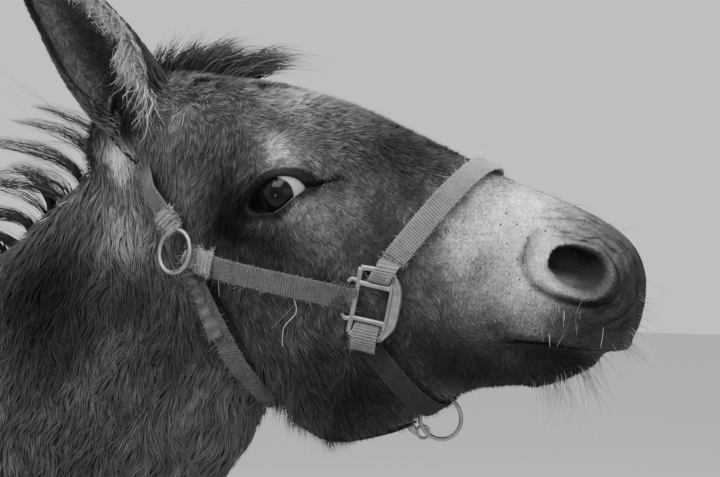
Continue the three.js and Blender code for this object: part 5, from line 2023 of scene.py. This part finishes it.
def make_wet_rim(flank):
    """The wet line where the lower lid meets the eyeball: a thin tube along the outline."""
    mirror = (1, 1 if flank == "left" else -1, 1)
    turn = np.radians(np.linspace(-20, 200, 90))
    a = LIDS.half[0] * 0.93 * np.cos(turn)
    b = LIDS.offset[1] + 0.90 * np.sin(turn) * LIDS.half_plus * (1 - LIDS.taper * smooth_step(-6, 22, a))
    a = LIDS.offset[0] + a
    reach = np.minimum(np.hypot(a, b), BALL_RADIUS * 0.98)
    out = np.sqrt((BALL_RADIUS + 0.5) ** 2 - reach**2)
    path = HEAD_AXES.out((np.stack([a, b, out], 1) @ LIDS.basis + LIDS.middle) * mirror)
    size = 0.5 * np.sin(np.linspace(0.1, math.pi - 0.1, len(path))) ** 0.5
    points, faces = tube(path, HEAD_AXES.turn(LIDS.out * mirror), size, size, 8)
    new_object(f"wet_rim_{flank}", points, faces, "wet_lid")


def make_hoof(end, flank):
    """A hoof: rings from the flat sole to the coronet, wider at the ground, with growth ridges."""
    sign, corners = (1 if flank == "left" else -1), 56
    leg, rows = (FORE_LEG, FORE) if end == "fore" else (HIND_LEG, HIND)
    _, front, back, wide, narrow, _, _ = rows[0]
    table = np.array([
        [0, front + 31, back - 1, 37, 33, 2.3, 0],
        [HOOF_HEIGHT / 2, front + 16, back - 1, 33.5, 30, 2.3, 0],
        [HOOF_HEIGHT, front + 1, back - 1, wide + 1, narrow + 1, 2.2, 0],
    ], float)
    height = np.concatenate([[0.0], np.linspace(0.0, HOOF_HEIGHT, 44), [HOOF_HEIGHT]])[:, None]
    _, top, bottom, broad, slim, square, _ = read(table, height[:, 0])[..., None]
    angle = 2 * math.pi * np.arange(corners) / corners
    across, over = rounded(angle, 2 / square, 2 / square)
    shrink = 1 + 0.013 * np.sin(height / 2.6 + 0.8 * np.sin(height / 7))
    shrink -= 0.012 * bell(height, 0, 1.2)
    shrink[[0, -1]] = 0.86
    side = (slim + (broad - slim) * (over + 1) / 2) * across
    cleft = 1 - 0.10 * bell(angle, 1.5 * math.pi, 0.28)
    local = np.stack([np.broadcast_to(height, side.shape), side * shrink,
                      (top + bottom) / 2 + (top - bottom) / 2 * over * shrink * cleft], 2)
    points = leg_axes(leg, sign).out(local.reshape(-1, 3))
    hoof = new_object(f"hoof_{end}_{flank}", points,
                      rings_to_faces(points, len(height), corners), "horn")
    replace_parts(hoof, f"{end}_hoof_{flank}")


# ------------------------------------------------------------ meshes and materials
def placed(name, data):
    """A new object in the scene."""
    thing = bpy.data.objects.new(name, data)
    bpy.context.scene.collection.objects.link(thing)
    return thing


def new_object(name, points, faces, material, values=None, uv=None, shading=None):
    """A finished piece from millimetres and rows of corners, on the one body. shading gives fur its
    surface's normals."""
    mesh = bpy.data.meshes.new(name)
    count, corners = faces.shape
    mesh.vertices.add(len(points))
    mesh.vertices.foreach_set("co", (points * MM).astype(np.float32).ravel())
    mesh.loops.add(faces.size)
    mesh.loops.foreach_set("vertex_index", faces.astype(np.int32).ravel())
    mesh.polygons.add(count)
    mesh.polygons.foreach_set("loop_start", np.arange(count, dtype=np.int32) * corners)
    mesh.polygons.foreach_set("loop_total", np.full(count, corners, np.int32))
    mesh.polygons.foreach_set("use_smooth", np.ones(count, bool))
    mesh.update(calc_edges=True)
    if shading is not None:
        mesh.normals_split_custom_set_from_vertices(shading.astype(np.float32))
    for key, value in (values or {}).items():
        layer = mesh.attributes.new(key, "FLOAT", "POINT")
        layer.data.foreach_set("value", np.asarray(value, np.float32))
    if uv is not None:
        layer = mesh.uv_layers.new(name="OFBake")
        layer.data.foreach_set("uv", uv[faces.ravel()].astype(np.float32).ravel())
    mesh.materials.append(bpy.data.materials.get(material) or MATERIALS[material](material))
    piece = placed(name, mesh)
    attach(piece, "root")
    return piece


class Value:
    """A shader socket that sums and products can be written with."""

    def __init__(self, nodes, socket):
        self.nodes, self.socket = nodes, socket

    def _math(self, operation, *values):
        return self.nodes.add("Math", {"operation": operation}, *values)

    def __add__(self, other):
        return self._math("ADD", self, other)

    def __mul__(self, other):
        return self._math("MULTIPLY", self, other)

    def __sub__(self, other):
        return self._math("SUBTRACT", self, other)

    def __rsub__(self, other):
        return self._math("SUBTRACT", other, self)

    def __pow__(self, other):
        return self._math("POWER", self, other)

    def __rpow__(self, other):
        return self._math("POWER", other, self)

    __radd__, __rmul__ = __add__, __mul__

    def between(self, low, high):
        """0 below low and 1 above high, in a straight line between them."""
        return self.nodes.add("MapRange", {"clamp": True}, self, low, high, 0.0, 1.0)


class Nodes:
    """The nodes of one material."""

    def __init__(self, name):
        self.material = bpy.data.materials.new(name)
        self.material.use_nodes = True
        self.tree = self.material.node_tree
        self.shader = next(n for n in self.tree.nodes if n.type == "BSDF_PRINCIPLED")

    def add(self, kind, settings, *values, output=0, at=None, **named):
        """A node of a kind: its settings, then its sockets from values or other nodes' sockets, by number
        or name. Returns one output."""
        node = self.tree.nodes.new("ShaderNode" + kind)
        for key, value in settings.items():
            setattr(node, key, value)
        self.fill(node, [*enumerate(values), *(at or {}).items(), *named.items()])
        return Value(self, node.outputs[output])

    def fill(self, node, pairs):
        """Links sockets, by number or name, or sets them to plain values."""
        for key, value in pairs:
            socket = node.inputs[key if isinstance(key, int) else key.replace("_", " ")]
            if isinstance(value, Value):
                self.tree.links.new(value.socket, socket)
            else:
                socket.default_value = value

    def finish(self, **sockets):
        """Sets the shader's own sockets and returns the material."""
        self.fill(self.shader, sockets.items())
        return self.material

    def attribute(self, name):
        """A number stored at the mesh's points."""
        return self.add("Attribute", {"attribute_name": name}, output="Fac")

    def noise(self, size, detail=3.0, stretch=(1, 1, 1)):
        """Soft noise whose lumps are about a size in metres, stretched along the axes."""
        scaled = self.add("Mapping", {}, self.add("TexCoord", {}, output="Object"),
                          Scale=tuple(1 / (size * k) for k in stretch))
        return self.add("TexNoise", {}, Vector=scaled, Scale=1.0, Detail=detail)

    def mixed(self, factor, first, second):
        """A colour between two colours or colour sockets, by a factor from 0 to 1."""
        first, second = (c if isinstance(c, Value) else (*c, 1) for c in (first, second))
        sockets = {0: factor, 6: first, 7: second}
        return self.add("Mix", {"data_type": "RGBA"}, output=2, at=sockets)

    def tinted(self, light, tint):
        """A grey value as a colour, by a tint beside its red."""
        return self.add("CombineColor", {}, *(light * (part / tint[0]) for part in tint))

    def bump(self, height, strength, depth):
        """A Normal from a height, for relief of a depth in metres."""
        return self.add("Bump", {}, Strength=strength, Distance=depth, Height=height)


# ------------------------------------------------------------ the stage
CAMERA_TURN = 20.0
CAMERA_FROM_POLL = (476.0, -836.3, -167.4)


def make_stage():
    """Pale floor, pale backdrop, soft lights and the camera."""
    scene, wanted = bpy.context.scene, chosen_settings("stage")
    data = bpy.data.cameras.new("camera")
    data.lens = wanted.lens
    data.sensor_width = 36
    data.clip_start = 0.02
    scene.camera = placed("camera", data)
    scene.camera.location = (HEAD_AXES.origin + CAMERA_FROM_POLL) * MM
    scene.camera.rotation_euler = (math.radians(90), 0, math.radians(CAMERA_TURN))
    scene.world = bpy.data.worlds.new("studio")
    scene.world.use_nodes = True
    background = scene.world.node_tree.nodes["Background"].inputs
    background["Color"].default_value = (1, 1, 1, 1)
    background["Strength"].default_value = wanted.sky
    for name, place, size, power in (
            ("key", (0.1, -1.3, 3.3), 2.2, wanted.key),
            ("fill", (3.0, -2.2, 1.6), 2.0, 16),
            ("back", (-1.5, 2.4, 2.4), 2.0, 40)):
        data = bpy.data.lights.new(name, "AREA")
        data.size = size
        data.energy = power
        light = placed(name, data)
        light.location = place
        way = Vector((0.4, 0, 1.1)) - light.location
        light.rotation_euler = way.to_track_quat("-Z", "Y").to_euler()
    mesh = bpy.data.meshes.new("floor")
    half = 12.0
    mesh.from_pydata([(-half, -half, 0), (half, -half, 0), (half, half, 0), (-half, half, 0)],
                     [], [(0, 1, 2, 3)])
    mesh.materials.append(floor_material("floor"))
    placed("floor", mesh)


def coat_material(name):
    """Hair: the tone that is stored at the points, in the coat's own tint."""
    nodes = Nodes(name)
    colour = nodes.tinted(nodes.attribute("tone"), chosen_settings("coat").colour)
    return nodes.finish(Base_Color=colour, Roughness=0.85, Specular_IOR_Level=0.15)


def skin_material(name):
    """Skin and its shortest fur: the stored tone, stippled, with fine relief."""
    nodes = Nodes(name)
    fine = nodes.noise(0.0019, 3.0)
    tone = nodes.attribute("tone") * (0.05 + 1.85 * fine)
    colour = nodes.tinted(tone, chosen_settings("coat").colour)
    return nodes.finish(Base_Color=colour, Roughness=0.7, Specular_IOR_Level=0.2,
                        Normal=nodes.bump(fine, 0.7, 0.0009))


def webbing_material(name):
    """Ribbed webbing: fine ribs across the run, paler on their crests and darker between them as painted
    light and shade, threads along it, stains and worn pale edges.
    """
    nodes = Nodes(name)
    run, across = nodes.attribute("run"), nodes.attribute("across")
    ribs = nodes.add("Math", {"operation": "SINE"}, run * 2.85)
    threads = nodes.add("Math", {"operation": "SINE"}, across * 34.0)
    stain = nodes.noise(0.012, 5.0)
    fine = nodes.noise(0.0014, 3.0)
    edge = nodes.add("Math", {"operation": "ABSOLUTE"}, across).between(0.7, 1.0)
    # The ribs' sine also lightens their crests and darkens the grooves: painted light and shade.
    light = nodes.attribute("light") * (0.25 + 0.65 * stain + 0.85 * fine + ribs * 0.22 + edge * 0.20)
    height = ribs * 0.8 + threads * 0.15 + fine * 0.9
    return nodes.finish(Base_Color=nodes.tinted(light, chosen_settings("halter").webbing),
                        Roughness=0.95, Specular_IOR_Level=0.1,
                        Normal=nodes.bump(height, 0.9, 0.0007))


def metal_material(name):
    """Cast and drawn metal gone dull: pitted, and scuffed pale in patches."""
    nodes, halter = Nodes(name), chosen_settings("halter")
    pits = nodes.noise(0.0012, 4.0)
    scuff = nodes.noise(0.007, 4.0)
    return nodes.finish(Base_Color=nodes.mixed(scuff, halter.dull, halter.scuffed),
                        Metallic=0.85, Roughness=0.30 + scuff * 0.28,
                        Normal=nodes.bump(pits, 0.25, 0.0004))


def eye_material(name):
    """A wet eye: level pupil, dark brown iris, and a pale grey-white beyond its edge."""
    nodes, eye = Nodes(name), chosen_settings("eye")
    angle = nodes.attribute("angle")
    wide, tall = nodes.attribute("wide"), nodes.attribute("tall")
    pupil = (wide * 3.4) ** 2.0 + (tall * 6.5) ** 2.0
    iris = nodes.mixed(nodes.noise(0.0012, 4.0), eye.iris_dark, eye.iris_pale)
    white = nodes.mixed(nodes.noise(0.004, 4.0), eye.white_dark, eye.white_pale)
    upwards = wide * WHITE_WAY[0] + tall * WHITE_WAY[1]
    white = nodes.mixed(upwards.between(0.33, 0.47), (0.012, 0.010, 0.009), white)
    inner = nodes.mixed(pupil.between(0.85, 1.1), (0.002, 0.002, 0.002), iris)
    colour = nodes.mixed(angle.between(IRIS_ANGLE - 2, IRIS_ANGLE + 2), inner, white)
    return nodes.finish(Base_Color=colour, Roughness=0.2, Specular_IOR_Level=0.12,
                        Coat_Weight=0.10, Coat_Roughness=0.05)


def wet_material(name):
    """The wet edge of a lid."""
    nodes = Nodes(name)
    colour = nodes.mixed(nodes.noise(0.002), (0.05, 0.045, 0.045), (0.16, 0.15, 0.145))
    return nodes.finish(Base_Color=colour, Roughness=0.3, Coat_Weight=0.4)


def hoof_material(name):
    """Horn: upright grain and level growth rings."""
    nodes, hoof = Nodes(name), chosen_settings("hoof")
    grain = nodes.noise(0.0016, 4.0, (1, 1, 16))
    bands = nodes.noise(0.005, 3.0, (14, 14, 1))
    mixed = (grain * 0.5 + bands * 0.5).between(0.3, 0.72)
    return nodes.finish(Base_Color=nodes.mixed(mixed, hoof.dark, hoof.pale),
                        Roughness=0.45 + grain * 0.25,
                        Normal=nodes.bump(grain + bands, 0.4, 0.0006))


def floor_material(name):
    """Plain matt floor."""
    return Nodes(name).finish(Base_Color=(*chosen_settings("stage").floor, 1), Roughness=0.9)


# The frame's own materials have the slots' names, so these have others.
MATERIALS = {
    "fur": coat_material,
    "hide": skin_material,
    "ribbed_webbing": webbing_material,
    "dull_metal": metal_material,
    "eyeball": eye_material,
    "wet_lid": wet_material,
    "horn": hoof_material,
}


# ------------------------------------------------------------ operators and panel
class DONKEY_OT_skin(bpy.types.Operator):
    """Add the skin that stands for every node of flesh"""
    bl_idname = "donkey.skin"
    bl_label = "Skin"

    def execute(self, context):
        make_skin()
        return {"FINISHED"}


class DONKEY_OT_short_coat(bpy.types.Operator):
    """Add the tufts of the short coat"""
    bl_idname = "donkey.short_coat"
    bl_label = "Short Coat"

    def execute(self, context):
        make_coat()
        return {"FINISHED"}


class DONKEY_OT_ear_hair(bpy.types.Operator):
    """Add the fur, curls and tassel of both ears"""
    bl_idname = "donkey.ear_hair"
    bl_label = "Ear Hair"

    def execute(self, context):
        rng = np.random.default_rng(SEED + 7)
        for flank, ear in EARS.items():
            make_ear_coat(flank, ear, rng)
            make_ear_tassel(flank, ear, rng)
        return {"FINISHED"}


class DONKEY_OT_mane(bpy.types.Operator):
    """Add the mane"""
    bl_idname = "donkey.mane"
    bl_label = "Mane"

    def execute(self, context):
        make_mane()
        return {"FINISHED"}


class DONKEY_OT_forelock(bpy.types.Operator):
    """Add the forelock"""
    bl_idname = "donkey.forelock"
    bl_label = "Forelock"

    def execute(self, context):
        make_forelock()
        return {"FINISHED"}


class DONKEY_OT_tail_tuft(bpy.types.Operator):
    """Add the tuft of the tail"""
    bl_idname = "donkey.tail_tuft"
    bl_label = "Tail Tuft"

    def execute(self, context):
        make_tail_tuft()
        return {"FINISHED"}


class DONKEY_OT_whiskers(bpy.types.Operator):
    """Add the whiskers and the dark spots of their roots"""
    bl_idname = "donkey.whiskers"
    bl_label = "Whiskers"

    def execute(self, context):
        make_whiskers()
        make_whisker_roots()
        return {"FINISHED"}


class DONKEY_OT_straps(bpy.types.Operator):
    """Add the halter's webbing"""
    bl_idname = "donkey.straps"
    bl_label = "Halter Straps"

    def execute(self, context):
        make_straps()
        return {"FINISHED"}


class DONKEY_OT_rings(bpy.types.Operator):
    """Add the halter's rings and snap"""
    bl_idname = "donkey.rings"
    bl_label = "Halter Rings"

    def execute(self, context):
        make_rings()
        return {"FINISHED"}


class DONKEY_OT_squares(bpy.types.Operator):
    """Add the halter's cast squares"""
    bl_idname = "donkey.squares"
    bl_label = "Halter Squares"

    def execute(self, context):
        make_squares()
        return {"FINISHED"}


class DONKEY_OT_eyes(bpy.types.Operator):
    """Add the eyeballs and the wet rims of the lids"""
    bl_idname = "donkey.eyes"
    bl_label = "Eyes"

    def execute(self, context):
        for flank in EARS:
            make_eye(flank)
            make_wet_rim(flank)
        return {"FINISHED"}


class DONKEY_OT_hooves(bpy.types.Operator):
    """Add the four hooves"""
    bl_idname = "donkey.hooves"
    bl_label = "Hooves"

    def execute(self, context):
        for flank in EARS:
            for end in ("fore", "hind"):
                make_hoof(end, flank)
        return {"FINISHED"}


class DONKEY_OT_stage(bpy.types.Operator):
    """Add the studio floor, lights and camera"""
    bl_idname = "donkey.stage"
    bl_label = "Stage"

    def execute(self, context):
        make_stage()
        return {"FINISHED"}


OPERATORS = (
    DONKEY_OT_skin,
    DONKEY_OT_short_coat,
    DONKEY_OT_ear_hair,
    DONKEY_OT_mane,
    DONKEY_OT_forelock,
    DONKEY_OT_tail_tuft,
    DONKEY_OT_whiskers,
    DONKEY_OT_straps,
    DONKEY_OT_rings,
    DONKEY_OT_squares,
    DONKEY_OT_eyes,
    DONKEY_OT_hooves,
    DONKEY_OT_stage,
)


class DONKEY_PT_pieces(bpy.types.Panel):
    """Settings and pieces of the donkey"""
    bl_idname = "DONKEY_PT_pieces"
    bl_label = "Donkey in a Halter"
    bl_space_type = "VIEW_3D"
    bl_region_type = "UI"
    bl_category = "Donkey"

    def draw(self, context):
        for group, kind in SETTINGS.items():
            box = self.layout.box()
            box.label(text=kind.__doc__)
            for name in kind.__annotations__:
                box.prop(getattr(context.scene, "donkey_" + group), name)
        for operator in OPERATORS:
            self.layout.operator(operator.bl_idname)


CLASSES = (*SETTINGS.values(), *OPERATORS, DONKEY_PT_pieces)


def register():
    """Registers the classes and puts the settings on the scene."""
    for kind in CLASSES:
        bpy.utils.register_class(kind)
    for group, kind in SETTINGS.items():
        setattr(bpy.types.Scene, "donkey_" + group, bpy.props.PointerProperty(type=kind))


def unregister():
    """Takes the settings and the classes away again."""
    for group in SETTINGS:
        delattr(bpy.types.Scene, "donkey_" + group)
    for kind in reversed(CLASSES):
        bpy.utils.unregister_class(kind)


def main():
    """Registers the add-on's classes, then builds every piece and the stage."""
    register()
    bpy.ops.donkey.skin()
    bpy.ops.donkey.short_coat()
    bpy.ops.donkey.ear_hair()
    bpy.ops.donkey.mane()
    bpy.ops.donkey.forelock()
    bpy.ops.donkey.tail_tuft()
    bpy.ops.donkey.whiskers()
    bpy.ops.donkey.straps()
    bpy.ops.donkey.rings()
    bpy.ops.donkey.squares()
    bpy.ops.donkey.eyes()
    bpy.ops.donkey.hooves()
    bpy.ops.donkey.stage()


if __name__ == "__main__":
    main()
